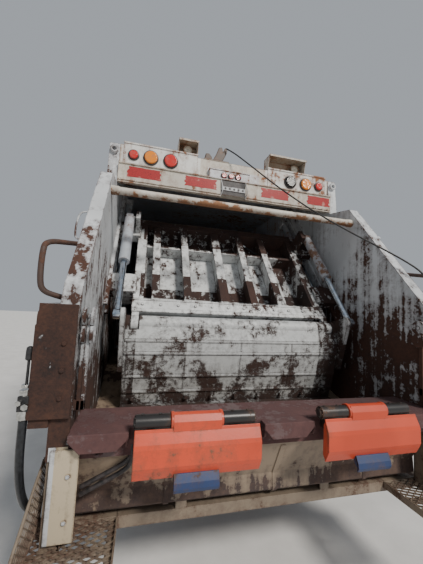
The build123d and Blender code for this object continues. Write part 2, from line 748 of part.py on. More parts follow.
def cab():
    shell = cab_shell()
    screen = block(-1020, 1020, 4000, 4400, 1960, 2640)
    back_window = block(-600, 600, cab_rear_y - 1, cab_rear_y + cab_skin + 1, 2050, 2450)
    shell -= screen
    shell -= back_window
    front_from = 4010
    roof_from = 2720
    everything = 3000
    doors = {}
    for name, side in (("left", -1), ("right", 1)):
        edge = side * (cab_half - cab_skin - 1)
        opening = block(edge, side * everything, door_rear_y, door_front_y, door_low_z, door_high_z)
        leaf = block(edge, side * everything, door_rear_y + door_gap, door_front_y - door_gap,
                     door_low_z + door_gap, door_high_z - door_gap)
        window = block(edge - side, side * everything, door_rear_y + 110, door_front_y - 130, 1880, door_high_z - 110)
        doors[name] = (shell & leaf) - window
        shell -= opening
    parts["cab_roof"] = shell & block(-everything, everything, 0, front_from, roof_from, everything * 2)
    skirt_front = block(-cab_half, cab_half, cab_front_y - cab_skin, cab_front_y, cab_apron_z, cab_floor_z)
    grille = block(-700, 700, cab_front_y - cab_skin - 1, cab_front_y - 20, 900, 1100)
    front = (shell & block(-everything, everything, front_from, everything * 2, 0, everything * 2)) + skirt_front
    bars = block(-700, 700, cab_front_y - 40, cab_front_y - 20, 900, 1100)
    parts["cab_front"] = front - grille + bars
    body = shell & block(-everything, everything, 0, front_from, 0, roof_from)
    for side in (-1, 1):
        body += block(side * (cab_half - cab_skin), side * cab_half, cab_skirt_y, cab_front_y - cab_skin,
                      cab_skirt_z, cab_floor_z)
        lug_in = rail_outer + 30
        body += side_shape([(cab_hinge_y - 45, cab_floor_z), (cab_hinge_y + 45, cab_floor_z),
                            (cab_hinge_y + 45, cab_hinge_z - 40), (cab_hinge_y - 45, cab_hinge_z - 40)],
                           side * lug_in, side * (lug_in + 40))
    body -= cross_rod((cab_hinge_y, cab_hinge_z), -cab_half + 100, cab_half - 100, 18 + fit)
    parts["cab_body"] = body
    for name, side in (("left", -1), ("right", 1)):
        parts[f"door_{name}"] = doors[name]


def cab_glass():
    """The windscreen and the back window, as panes inside their openings."""
    pane = 8
    lean = [(4262, 1960), (4129, 2640), (4129 - pane, 2640), (4262 - pane, 1960)]
    front = side_shape(lean, -1020, 1020)
    back = block(-600, 600, cab_rear_y + 26, cab_rear_y + 26 + pane, 2050, 2450)
    return Compound(children=[front, back])


def door_glass(side):
    x = side * (cab_half - 30)
    return block(x - 4, x + 4, door_rear_y + 110, door_front_y - 130, 1880, door_high_z - 110)


def cab_seats():
    seats = []
    floor = cab_floor_z + cab_skin
    for x, half in ((-620, 260), (520, 380)):
        seat = block(x - half + 40, x + half - 40, 3080, 3420, floor, floor + 260)
        seat += block(x - half, x + half, 3000, 3500, floor + 260, floor + 400)
        seat += block(x - half, x + half, 2880, 3000, floor + 300, floor + 1000)
        seats.append(seat)
    return Compound(children=seats)


def cab_dash():
    floor = cab_floor_z + cab_skin
    dash = side_shape([(cab_front_y - cab_skin, 1500), (cab_front_y - cab_skin, 1890), (3900, 1840), (3840, 1700),
                       (3960, 1500)], cab_skin - cab_half + 150, cab_half - cab_skin - 150)
    column = rod((-620, 3880, 1640), (-620, 3640, 1900), 28)
    tilt = Plane(origin=(-620, 3640, 1900), z_dir=(0, -240, 260))
    wheel = tilt * Torus(215, 16)
    spoke = tilt * Box(430, 50, 16)
    return dash + column + wheel + spoke


def cab_mirrors():
    heads = []
    for side in (-1, 1):
        x = side * (cab_half + 105)
        head = block(x - 75, x + 75, 4060, 4120, 1900, 2380)
        arm = rod((side * cab_half, 4090, 2420), (x, 4090, 2420), 14) + block(
            x - 14, x + 14, 4076, 4104, 2380, 2430)
        lower = rod((side * cab_half, 4090, 1850), (x, 4090, 1850), 14) + block(
            x - 14, x + 14, 4076, 4104, 1845, 1900)
        heads.append(head + arm + lower)
    return Compound(children=heads)


def head_lamps():
    lamps = []
    for side in (-1, 1):
        lamps.append(block(side * 560, side * 740, half_length - 80, half_length - 10, 580, 700))
    return Compound(children=lamps)


def build():
    parts["chassis_frame"] = chassis_frame()
    parts["powertrain"] = powertrain()
    parts["front_axle"] = front_axle()
    parts["rear_axle"] = rear_axle()
    parts["knuckle_right"] = knuckle()
    parts["knuckle_left"] = mirrored(knuckle())
    wheels()
    parts["side_tanks"] = side_tanks()
    parts["mudguards"] = mudguards()
    parts["bumper"] = bumper()
    parts["body_floor"] = body_floor()
    parts["body_side_right"] = body_side()
    parts["body_side_left"] = mirrored(body_side())
    parts["body_roof"] = body_roof()
    parts["body_front"] = body_front()
    barrel, stem = cylinder_pair(lift_base, lift_eye, lift_x, 34, 20, lift_barrel_long, lift_stem_from, lift_pin,
                                 wall_outer + 14, 24)
    parts["lift_barrel_right"], parts["lift_rod_right"] = barrel, stem
    parts["lift_barrel_left"], parts["lift_rod_left"] = mirrored(barrel), mirrored(stem)
    parts["tailgate_wall_right"] = tailgate_wall()
    parts["tailgate_wall_left"] = mirrored(tailgate_wall())
    parts["hopper_trough"] = hopper_trough()
    parts["hopper_sill"] = hopper_sill()
    parts["tailgate_roof"] = tailgate_roof()
    parts["top_tube"] = top_tube()
    parts["rear_lamps"] = rear_lamps()
    parts["rear_step"] = rear_step()
    parts["slide_panel"] = slide_panel()
    parts["slide_barrels"], parts["slide_rods"] = slide_cylinders()
    parts["sweep_panel"] = sweep_panel()
    barrel, stem = cylinder_pair(sweep_top, sweep_foot, sweep_cylinder_x, 44, 24, sweep_barrel_long,
                                 sweep_stem_from, sweep_pin, 914, 20)
    parts["sweep_barrel_right"], parts["sweep_rod_right"] = barrel, stem
    parts["sweep_barrel_left"], parts["sweep_rod_left"] = mirrored(barrel), mirrored(stem)
    parts["lifter_actuators"] = lifter_actuators()
    parts["cart_lifter_left"] = cart_lifter(-607, -356, -768, -170)
    parts["cart_lifter_right"] = cart_lifter(356, 607, 200, 800)
    cab()
    parts["cab_glass"] = cab_glass()
    parts["door_glass_left"] = door_glass(-1)
    parts["door_glass_right"] = door_glass(1)
    parts["cab_seats"] = cab_seats()
    parts["cab_dash"] = cab_dash()
    parts["cab_mirrors"] = cab_mirrors()
    parts["head_lamps"] = head_lamps()


build()
os.makedirs("parts", exist_ok=True)
for node, shape in parts.items():
    export_step(shape, f"parts/{node}.step")
print(len(parts), "nodes")
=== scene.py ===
import bmesh
import bpy
import math
import random
from mathutils import Matrix, Vector


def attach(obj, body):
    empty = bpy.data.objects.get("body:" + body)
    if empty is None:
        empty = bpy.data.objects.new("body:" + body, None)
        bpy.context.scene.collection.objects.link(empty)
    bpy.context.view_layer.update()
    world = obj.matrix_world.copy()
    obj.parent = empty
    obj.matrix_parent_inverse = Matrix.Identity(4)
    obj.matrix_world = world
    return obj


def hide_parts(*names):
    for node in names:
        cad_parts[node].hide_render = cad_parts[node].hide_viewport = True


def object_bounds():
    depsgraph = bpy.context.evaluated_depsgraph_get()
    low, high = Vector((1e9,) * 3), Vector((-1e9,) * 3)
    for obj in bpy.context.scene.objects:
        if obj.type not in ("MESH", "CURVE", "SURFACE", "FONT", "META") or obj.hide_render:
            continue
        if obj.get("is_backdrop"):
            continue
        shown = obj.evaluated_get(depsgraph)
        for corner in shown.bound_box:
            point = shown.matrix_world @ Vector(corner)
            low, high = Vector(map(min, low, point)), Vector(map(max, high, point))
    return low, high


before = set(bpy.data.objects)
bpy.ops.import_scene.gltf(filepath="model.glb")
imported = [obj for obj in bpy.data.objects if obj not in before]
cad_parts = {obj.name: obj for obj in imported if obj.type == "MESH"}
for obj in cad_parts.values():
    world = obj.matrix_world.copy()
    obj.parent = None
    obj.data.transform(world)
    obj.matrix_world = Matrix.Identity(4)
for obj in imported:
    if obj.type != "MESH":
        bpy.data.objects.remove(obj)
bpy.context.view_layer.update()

# The camera stands behind the loading sill, a little left of the middle, at a person's eye height.
# It is a phone's wide lens: a 36 mm long side, with the focal length found from the hopper's lines.
eye = Vector((-0.775, -5.386, 1.681))
yaw, pitch, roll = (math.radians(angle) for angle in (13.97, 4.89, 2.81))
ahead = Vector((math.sin(yaw) * math.cos(pitch), math.cos(yaw) * math.cos(pitch), math.sin(pitch)))
level = Vector((math.cos(yaw), -math.sin(yaw), 0.0))
over = level.cross(ahead)
camera_x = level * math.cos(roll) + over * math.sin(roll)
camera_y = over * math.cos(roll) - level * math.sin(roll)
lens = bpy.data.cameras.new("photo_lens")
lens.sensor_width = 36.0
focal_pixels, picture_pixels = 274, 564
lens.lens = focal_pixels / picture_pixels * lens.sensor_width
lens.clip_start, lens.clip_end = 0.05, 200.0
camera = bpy.data.objects.new("photo_camera", lens)
camera.matrix_world = Matrix([*zip(camera_x, camera_y, -ahead, eye), (0, 0, 0, 1)])
bpy.context.scene.collection.objects.link(camera)
bpy.context.scene.camera = camera

# The light cable is a rubber lead. It leaves the torn fork on the roof's edge, hangs across the hopper's mouth
# and goes into a round socket in the right-hand wall, held only at its two ends.
cable_route = ((-0.085, -2.95, 3.196), (-0.03, -2.99, 3.15), (0.062, -3.055, 3.05), (0.168, -3.128, 2.932),
               (0.288, -3.214, 2.795), (0.41, -3.305, 2.665), (0.53, -3.388, 2.546), (0.65, -3.47, 2.44),
               (0.775, -3.558, 2.334), (0.895, -3.645, 2.238), (1.005, -3.726, 2.15), (1.1, -3.794, 2.07),
               (1.17, -3.843, 2.0), (1.212, -3.86, 1.93), (1.216, -3.847, 1.874), (1.196, -3.812, 1.829),
               (1.152, -3.777, 1.812))
cable_size, cable_length = 0.013, 2.21


def add(tree, kind, inputs=None, **settings):
    """One node of a finish, with its inputs set or joined to another node."""
    made = tree.nodes.new("ShaderNode" + kind)
    for name, value in settings.items():
        setattr(made, name, value)
    for name, value in (inputs or {}).items():
        if isinstance(value, bpy.types.NodeSocket):
            tree.links.new(value, made.inputs[name])
        else:
            made.inputs[name].default_value = value
    return made


def new_finish(name, rough=0.5, metal=0.0):
    """An empty finish: its material, its node tree, its shader and a place on the piece."""
    made = bpy.data.materials.new(name)
    made.use_nodes = True
    tree = made.node_tree
    shader = tree.nodes["Principled BSDF"]
    shader.inputs["Roughness"].default_value = rough
    shader.inputs["Metallic"].default_value = metal
    return made, tree, shader, add(tree, "TexCoord").outputs["Object"]


def cloud(tree, place, size, detail, rough=0.5):
    """A cloudy pattern."""
    return add(tree, "TexNoise", {"Vector": place, "Scale": size, "Detail": detail, "Roughness": rough}).outputs["Fac"]


def ramp(tree, value, low, high, start=0.0, end=1.0):
    """A value spread from one range to another and held inside it."""
    return add(tree, "MapRange", {"Value": value, "From Min": low, "From Max": high, "To Min": start,
                                  "To Max": end}).outputs["Result"]


def mix(tree, share, *colours):
    """One colour turned into another by a share."""
    one, other = (c if isinstance(c, bpy.types.NodeSocket) else (*c, 1.0) for c in colours)
    return add(tree, "Mix", {"Factor": share, 6: one, 7: other}, data_type="RGBA").outputs[2]


def surface(tree, shader, colour, height, strength, depth):
    """Joins a colour and a fine relief to the shader."""
    tree.links.new(colour, shader.inputs["Base Color"])
    bumps = add(tree, "Bump", {"Strength": strength, "Distance": depth, "Height": height})
    tree.links.new(bumps.outputs["Normal"], shader.inputs["Normal"])


def mottled(name, dark, light, size=20.0, rough=0.6, metal=0.0, bump=0.3, depth=0.001):
    """A plain material with its own grain: two close colours in a cloudy pattern, and a fine bump."""
    made, tree, shader, place = new_finish(name, rough, metal)
    share = ramp(tree, cloud(tree, place, size, 6.0, 0.6), 0.36, 0.64)
    surface(tree, shader, mix(tree, share, dark, light), cloud(tree, place, size * 12, 3.0), bump, depth)
    return made


def hung_line(name, route, thick, finish):
    """A cord as one smooth curve of its own thickness through its route."""
    line = bpy.data.curves.new(name, "CURVE")
    line.dimensions = "3D"
    line.bevel_depth = thick / 2
    line.bevel_resolution = 4
    line.use_fill_caps = True
    spline = line.splines.new("NURBS")
    spline.points.add(len(route) - 1)
    for point, place in zip(spline.points, route):
        point.co = (*place, 1.0)
    spline.order_u = 3
    spline.use_endpoint_u = True
    spline.resolution_u = 12
    line.materials.append(finish)
    made = bpy.data.objects.new(name, line)
    bpy.context.scene.collection.objects.link(made)
    return made


cable_rubber = mottled("cable_rubber", (0.012, 0.012, 0.013), (0.04, 0.038, 0.036), 60.0, 0.55)
light_cable = hung_line("light_cable", cable_route, cable_size, cable_rubber)
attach(light_cable, "tailgate")

# The lifter's hose is a stiff hydraulic hose with a braid under its cover. It hangs from the valve on the left
# corner post, bends forward below it and ends in a fitting on a tab that stands on the rear step's bar.
hose_route = ((-1.2415, -3.992, 1.17), (-1.2415, -3.992, 1.08), (-1.242, -3.985, 0.965), (-1.241, -3.955, 0.85),
              (-1.234, -3.905, 0.745), (-1.22, -3.86, 0.69), (-1.203, -3.815, 0.672))
hose_size, hose_length = 0.035, 0.56

hose_rubber = mottled("hose_rubber", (0.006, 0.007, 0.009), (0.022, 0.025, 0.03), 70.0, 0.28)
lifter_hose = hung_line("pressure_hose", hose_route, hose_size, hose_rubber)
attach(lifter_hose, "tailgate")

# A plain pale floor, a pale sky all round and one soft sun from the right and behind, as on a bright dull day.
floor_mesh = bpy.data.meshes.new("floor")
floor_mesh.from_pydata([(-30, -30, 0), (30, -30, 0), (30, 30, 0), (-30, 30, 0)], [], [(0, 1, 2, 3)])
floor_mesh.materials.append(mottled("floor_pale", (0.62, 0.61, 0.59), (0.7, 0.69, 0.67), 3.0, 0.9, bump=0.1))
floor = bpy.data.objects.new("floor", floor_mesh)
bpy.context.scene.collection.objects.link(floor)
floor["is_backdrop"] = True
world = bpy.data.worlds.new("pale_studio")
world.use_nodes = True
sky = world.node_tree.nodes["Background"]
sky.inputs["Color"].default_value = (0.86, 0.92, 1.0, 1)
sky.inputs["Strength"].default_value = 0.44
bpy.context.scene.world = world
sun = bpy.data.lights.new("sun", "SUN")
sun.energy = 3.3
sun.angle = 0.2
sun.color = (1.0, 0.95, 0.88)
sun_lamp = bpy.data.objects.new("sun", sun)
sun_lamp.rotation_euler = (math.radians(48), 0, math.radians(28))
bpy.context.scene.collection.objects.link(sun_lamp)

# The chassis is two channel rails of black painted steel with riveted crossmembers, a dropped front axle beam
# and a rear axle with its housing, on leaf springs. Bolts show along the rails' webs, and dust lies on it all.
def inside(tree, place, low, high):
    """1 inside a box of the object's own space and 0 outside it."""
    middle = [(a + b) / 2 for a, b in zip(low, high)]
    half = [(b - a) / 2 for a, b in zip(low, high)]
    away = add(tree, "VectorMath", {0: place, 1: middle}, operation="SUBTRACT").outputs[0]
    share = add(tree, "VectorMath", {0: away, 1: half}, operation="DIVIDE").outputs[0]
    size = add(tree, "VectorMath", {0: share}, operation="ABSOLUTE").outputs[0]
    wide, deep, high = add(tree, "SeparateXYZ", {"Vector": size}).outputs
    most = add(tree, "Math", {0: wide, 1: deep}, operation="MAXIMUM").outputs[0]
    most = add(tree, "Math", {0: most, 1: high}, operation="MAXIMUM").outputs[0]
    return add(tree, "Math", {0: most, 1: 1.0}, operation="LESS_THAN").outputs[0]


def weighed(tree, rows, total):
    """Adds up values by their weights."""
    for value, weight in rows:
        total = add(tree, "Math", {0: value, 1: weight, 2: total}, operation="MULTIPLY_ADD").outputs[0]
    return total


def worn_paint(name, paint, rust, wear=0.3, spots=9.0, runs=0.2, edges=0.5, grime_and_shade=(), spread=(), tints=(),
               rough=0.5, metal=0.0, relief=0.5, pits=0.2):
    """Paint over steel that has faded in patches and rusted in spots, in runs below them and along its edges.
    rust is a dark and a bright colour, which also serve as painted shade. grime_and_shade is rows of height, height
    where it ends, and strength, for grime and for painted shade; spread is boxes with more or less rust, some of them
    painted shade, tints is boxes in another paint, and pits is how much of it is fine pitting."""
    made, tree, shader, place = new_finish(name, rough, metal)
    broad, spot, fine = (cloud(tree, place, *grain) for grain in (
        (spots / 5, 3.0), (spots, 8.0, 0.7), (spots * 7, 9.0, 0.75)))
    long = add(tree, "Mapping", {"Vector": place, "Scale": (24.0, 24.0, 1.2)}).outputs["Vector"]
    flat = add(tree, "NewGeometry").outputs["Normal"]
    soft = add(tree, "Bevel", {"Radius": 0.012}, samples=4).outputs["Normal"]
    facing = add(tree, "VectorMath", {0: flat, 1: soft}, operation="DOT_PRODUCT").outputs["Value"]
    height = add(tree, "SeparateXYZ", {"Vector": place}).outputs["Z"]
    rows = [(broad, 0.35), (spot, 0.65 - pits), (fine, pits), (cloud(tree, long, 1.0, 5.0), runs),
            (ramp(tree, facing, 0.995, 0.8), 0.14 * edges)]
    rows += [(ramp(tree, height, high, low), strength) for low, high, strength in grime_and_shade]
    rows += [(inside(tree, place, low, high), strength) for low, high, strength in spread]
    total, start = weighed(tree, rows, -0.5 * runs), 0.62 - 0.2 * wear
    rust_and_shade, stain_and_shade = ramp(tree, total, start, start + 0.025), ramp(tree, total, start - 0.09, start, 0.0, 0.45)
    coat = mix(tree, ramp(tree, broad, 0.35, 0.65), [c * 0.8 for c in paint], [min(1.0, c * 1.08) for c in paint])
    for low, high, colour in tints:
        coat = mix(tree, inside(tree, place, low, high), coat, colour)
    flakes_and_shade = mix(tree, ramp(tree, weighed(tree, ((broad, 0.3), (spot, 0.35), (fine, 0.35)), 0.0), 0.38, 0.62), *rust)
    tree.links.new(ramp(tree, rust_and_shade, 0.0, 1.0, rough, 0.88), shader.inputs["Roughness"])
    surface(tree, shader, mix(tree, rust_and_shade, mix(tree, stain_and_shade, coat, flakes_and_shade), flakes_and_shade),
            weighed(tree, [(fine, 0.5)], rust_and_shade), relief, 0.0015)
    return made


def dress(finish, *nodes):
    """Gives CAD nodes their finish."""
    for name in nodes:
        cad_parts[name].material_slots[0].material = finish


def new_piece(name, shape, body, finish, round_edges=0.0, smooth=False):
    """Turns the worked shape into a piece of its body."""
    mesh = bpy.data.meshes.new(name)
    bmesh.ops.recalc_face_normals(shape, faces=shape.faces)
    shape.to_mesh(mesh)
    shape.free()
    mesh.materials.append(finish)
    if smooth:
        mesh.polygons.foreach_set("use_smooth", [True] * len(mesh.polygons))
    piece = bpy.data.objects.new(name, mesh)
    bpy.context.scene.collection.objects.link(piece)
    if round_edges:
        rounding = piece.modifiers.new("rounded_edges", "BEVEL")
        rounding.width = round_edges
        rounding.segments = 2
        rounding.limit_method = "ANGLE"
    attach(piece, body)
    return piece


def slab(shape, low, high, side=1):
    """A plate or bar between two corners, on the side that they lie on or on the other."""
    size = [abs(b - a) for a, b in zip(low, high)]
    middle = [(a + b) / 2 * turn for a, b, turn in zip(low, high, (side, 1, 1))]
    bmesh.ops.create_cube(shape, size=1.0, matrix=Matrix.Translation(middle) @ Matrix.Diagonal((*size, 1.0)))


def pair(shape, low, high):
    """The same plate on both sides of the truck."""
    for side in (-1, 1):
        slab(shape, low, high, side)


def on_side(side, points):
    """The same points on one side of the truck."""
    return [(side * across, *rest) for across, *rest in points]


def stud(shape, foot, way, radius, high, sides=6, tip=1.0):
    """A bolt head, nut or peg that stands on a face and points one way."""
    turn = Vector((0, 0, 1)).rotation_difference(Vector(way)).to_matrix().to_4x4()
    middle = Vector(foot) + Vector(way).normalized() * high / 2
    bmesh.ops.create_cone(shape, cap_ends=True, segments=sides, radius1=radius, radius2=radius * tip, depth=high,
                          matrix=Matrix.Translation(middle) @ turn)


chassis_black = worn_paint("chassis_black", (0.03, 0.03, 0.033), ((0.06, 0.035, 0.022), (0.16, 0.075, 0.035)), 0.35,
                           rough=0.45)
dress(chassis_black, "chassis_frame", "front_axle", "rear_axle", "knuckle_left", "knuckle_right")
rail_web, rail_low_row, rail_high_row = 0.43, 0.79, 0.94
front_axle, rear_axle, wheel_height = 3.0, -1.45, 0.515
rivets = bmesh.new()
for side in (-1, 1):
    for place in (-1.955, -0.82, 0.15, 1.25, 3.88):
        for height in (rail_low_row, rail_high_row):
            for off in (-0.03, 0.03):
                stud(rivets, (side * rail_web, place + off, height), (side, 0, 0), 0.013, 0.012, 12, 0.7)
new_piece("rail_rivets", rivets, "root", chassis_black)
spring_clamps = bmesh.new()
for side in (-1, 1):
    for axle, across, top in ((rear_axle, 0.492, 0.64), (front_axle, 0.3875, 0.545)):
        for off in (-0.055, 0.055):
            slab(spring_clamps, (across - 0.046, axle + off - 0.009, top - 0.1),
                 (across + 0.046, axle + off + 0.009, top + 0.012), side)
new_piece("spring_clamps", spring_clamps, "root", chassis_black, 0.004)

# The engine is a cast-iron block with the gearbox bolted to its rear face and a long shaft to the rear axle.
# It is bare, oily metal with a painted cover on top, and a ribbed sump under it.
engine_iron = mottled("engine_iron", (0.05, 0.048, 0.045), (0.17, 0.16, 0.15), 14.0, 0.62, 0.4, 0.5)
dress(engine_iron, "powertrain")
engine_trim = bmesh.new()
for step in range(9):
    pair(engine_trim, (0.325, 2.71 + step * 0.095, 0.7), (0.337, 2.73 + step * 0.095, 1.02))
pair(engine_trim, (0.06, 2.68, 1.065), (0.2, 3.52, 1.095))
for side in (-1, 1):
    for step in range(6):
        stud(engine_trim, (side * 0.13, 2.74 + step * 0.14, 1.092), (0, 0, 1), 0.012, 0.014)
new_piece("engine_ribs_and_covers", engine_trim, "root", engine_iron, 0.004)

# The tyres are worn truck tyres: a round side wall with a raised bead ring, and a tread of five ribs parted by
# four grooves, with short cuts across both shoulders. The rear pair on each side turns as one.
def lathe(shape, profile, middle, way, sides=32, notch=None):
    """A ring turned from a closed profile of (radius, place along the axis). notch changes a radius by the step."""
    turn = Vector((0, 0, 1)).rotation_difference(Vector(way)).to_matrix()
    rows = []
    for step in range(sides):
        angle = 2 * math.pi * step / sides
        row = []
        for radius, along in profile:
            out = notch(radius, along, step) if notch else radius
            row.append(shape.verts.new(Vector(middle) + turn @ Vector((out * math.cos(angle),
                                                                       out * math.sin(angle), along))))
        rows.append(row)
    for step in range(sides):
        here, there = rows[step], rows[(step + 1) % sides]
        for index in range(len(profile)):
            after = (index + 1) % len(profile)
            shape.faces.new((here[index], here[after], there[after], there[index]))


side_wall = ((0.2895, 0.098), (0.305, 0.11), (0.318, 0.12), (0.323, 0.127), (0.329, 0.1255), (0.355, 0.132),
             (0.395, 0.1345), (0.43, 0.1335), (0.46, 0.129), (0.485, 0.1225), (0.503, 0.116), (0.514, 0.106))
groove_places, groove_half, groove_deep, tread_radius = (0.066, 0.023), 0.0055, 0.013, 0.515
tyre_profile = list(side_wall)
for place in groove_places:
    tyre_profile += [(tread_radius, place + groove_half), (tread_radius - groove_deep, place + groove_half * 0.6),
                     (tread_radius - groove_deep, place - groove_half * 0.6), (tread_radius, place - groove_half)]
tyre_profile += [(radius, -along) for radius, along in reversed(tyre_profile)]


def shoulder_cut(radius, along, step):
    """The short cuts across the tread's two shoulders and the fine sipes of its ribs."""
    if radius > 0.505 and abs(along) > 0.07 and step % 4 == 0:
        return radius - 0.011
    return radius - 0.003 if radius > 0.512 and step % 4 == 2 else radius


tyre_rubber = worn_paint("tyre_rubber", (0.02, 0.02, 0.021), ((0.045, 0.04, 0.034), (0.1, 0.09, 0.075)), 0.4, 22.0,
                         runs=0.0, edges=0.25, rough=0.8, relief=0.3)
for name, node, body, across, along in (
        ("tyre_front_left", "front_tyre_left", "front_wheel_left", -1.03, front_axle),
        ("tyre_front_right", "front_tyre_right", "front_wheel_right", 1.03, front_axle),
        ("tyre_rear_left_outer", "rear_tyres_left", "rear_wheels_left", -1.078, rear_axle),
        ("tyre_rear_left_inner", "rear_tyres_left", "rear_wheels_left", -0.77, rear_axle),
        ("tyre_rear_right_inner", "rear_tyres_right", "rear_wheels_right", 0.77, rear_axle),
        ("tyre_rear_right_outer", "rear_tyres_right", "rear_wheels_right", 1.078, rear_axle)):
    worked = bmesh.new()
    lathe(worked, tyre_profile, (across, along, wheel_height), (1, 0, 0), 160, shoulder_cut)
    tyre = new_piece(name, worked, body, tyre_rubber)
    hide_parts(node)

# The rims are pressed steel discs in dusty off-white paint, held by ten nuts on studs, with a drawn cap over the
# hub's end. The paint has gone to rust round the hand holes and the nuts.
rim_paint = worn_paint("rim_paint", (0.62, 0.62, 0.6), ((0.12, 0.06, 0.035), (0.33, 0.16, 0.08)), 0.45, 16.0,
                       runs=0.0, edges=0.7)
dress(rim_paint, "front_rim_left", "front_rim_right", "rear_rims_left", "rear_rims_right")
nut_steel = mottled("nut_steel", (0.16, 0.12, 0.1), (0.38, 0.34, 0.3), 60.0, 0.5, 0.8)
nut_count, nut_circle = 10, 0.14
both_sides = (("left", -1), ("right", 1))
for side_name, side in both_sides:
    for body, face, axle in ((f"front_wheel_{side_name}", 1.104, front_axle),
                             (f"rear_wheels_{side_name}", 0.986, rear_axle)):
        nuts = bmesh.new()
        for step in range(nut_count):
            angle = 2 * math.pi * (step + 0.5) / nut_count
            foot = (side * face, axle + nut_circle * math.cos(angle), wheel_height + nut_circle * math.sin(angle))
            stud(nuts, foot, (side, 0, 0), 0.017, 0.02)
            stud(nuts, foot, (side, 0, 0), 0.01, 0.034, 12)
        new_piece(f"nuts_{body}", nuts, body, nut_steel, 0.0015)

# The fuel tank is rolled sheet with welded ends in two strapped cradles, with its filler cap on top. The battery
# box on the other side has a lid with two catches, and the air tank behind it hangs in two bands.
tank_metal = worn_paint("tank_metal", (0.34, 0.35, 0.36), ((0.13, 0.1, 0.08), (0.24, 0.19, 0.15)), 0.25, 6.0,
                        rough=0.36, metal=0.75)
dress(tank_metal, "side_tanks")
tank_trim = bmesh.new()
for across, height, radius, places in ((0.76, 0.7, 0.27, (0.75, 1.5)), (-0.66, 0.8, 0.13, (1.65, 2.0))):
    for place in places:
        lathe(tank_trim, ((radius - 0.002, -0.022), (radius + 0.006, -0.022), (radius + 0.006, 0.022),
                          (radius - 0.002, 0.022)), (across, place, height), (0, 1, 0), 48)
stud(tank_trim, (0.8, 0.98, 0.955), (0, 0, 1), 0.048, 0.045, 24, 0.95)
slab(tank_trim, (-1.096, 0.644, 0.93), (-0.514, 1.256, 0.966))
for place in (0.8, 1.1):
    slab(tank_trim, (-1.104, place - 0.02, 0.885), (-1.09, place + 0.02, 0.945))
new_piece("tank_straps_and_lids", tank_trim, "root", tank_metal, 0.003)

# The mudguards are rolled black plastic, and a plain rubber flap hangs from the rear end of each. The flap is
# bolted between the guard and a steel strip.
guard_plastic = mottled("guard_plastic", (0.018, 0.018, 0.019), (0.045, 0.043, 0.04), 18.0, 0.7, 0.0, 0.25)
dress(guard_plastic, "mudguards")
flap_rear, flap_front = -2.003, -1.995
flaps, flap_strips = bmesh.new(), bmesh.new()
pair(flaps, (0.66, flap_rear, 0.24), (1.205, flap_front, 0.672))
pair(flap_strips, (0.66, flap_rear - 0.005, 0.64), (1.205, flap_rear, 0.668))
for side in (-1, 1):
    for step in range(5):
        stud(flap_strips, (side * (0.7 + step * 0.115), flap_rear - 0.005, 0.654), (0, -1, 0), 0.01, 0.008)
new_piece("mud_flaps", flaps, "root", guard_plastic, 0.002)
new_piece("mud_flap_strips", flap_strips, "root", nut_steel, 0.001)

# The front bumper is pressed steel in the cab's colour with a ribbed tread plate on its top edge, two round
# towing eyes and the cut-outs for the head lamps.
bumper_paint = worn_paint("bumper_paint", (0.5, 0.53, 0.57), ((0.13, 0.07, 0.045), (0.34, 0.17, 0.09)), 0.12, 7.0)
dress(bumper_paint, "bumper")
tread = bmesh.new()
slab(tread, (-1.1, 4.275, 0.799), (1.1, 4.338, 0.805))
for step in range(44):
    place = -1.085 + step * 0.0505
    slab(tread, (place, 4.282, 0.804), (place + 0.012, 4.331, 0.809))
step_treads = bmesh.new()
pair(step_treads, (0.88, 3.69, 0.519), (1.165, 4.255, 0.524))
for step in range(10):
    pair(step_treads, (0.89, 3.71 + step * 0.055, 0.523), (1.155, 3.725 + step * 0.055, 0.529))
new_piece("bumper_tread", tread, "root", tank_metal, 0.001)
new_piece("cab_step_treads", step_treads, "root", tank_metal, 0.001)

# The collector body is welded sheet over folded ribs, painted white with a little blue in it. It is faded and
# chalky, stained below the roof's edge and rusted along the bottom rail.
body_paint = worn_paint("body_paint", (0.58, 0.62, 0.68), ((0.14, 0.075, 0.045), (0.38, 0.19, 0.1)), 0.22, 5.0,
                        runs=0.28, edges=0.45, grime_and_shade=((1.1, 1.45, 0.05),))
dress(body_paint, "body_side_left", "body_side_right", "body_roof", "body_front", "body_floor")


def join(shape, *outlines):
    """A closed solid between two equal outlines."""
    rows = [[shape.verts.new(point) for point in outline] for outline in outlines]
    shape.faces.new(rows[0])
    shape.faces.new(list(reversed(rows[1])))
    for index in range(len(rows[0])):
        after = (index + 1) % len(rows[0])
        shape.faces.new((rows[0][index], rows[1][index], rows[1][after], rows[0][after]))


def cut_sheet(shape, outline, start, end, across=True):
    """A flat sheet cut to an outline in the side view, or in the rear view when it lies along the truck."""
    join(shape, *[[(depth, a, b) if across else (a, depth, b) for a, b in outline] for depth in (start, end)])


crown = bmesh.new()
arch_places = [-1.13 + 0.113 * step for step in range(21)]
arch = [(across, 3.06 + 0.07 * (1 - (across / 1.14) ** 2)) for across in arch_places]
cut_sheet(crown, arch + [(1.13, 3.04), (-1.13, 3.04)], 2.136, 2.148, across=False)
new_piece("front_crown", crown, "root", body_paint)
seam_high, seam_low = 2.93, 1.27
for side_name, side in both_sides:
    welds = bmesh.new()
    for step in range(6):
        place = 2.11 - step * 0.56
        for height in (seam_low, seam_high):
            slab(welds, (1.139, place - 0.002, height - 0.02), (1.146, place + 0.084, height + 0.006), side)
    new_piece(f"rib_feet_{side_name}", welds, "root", body_paint, 0.004)

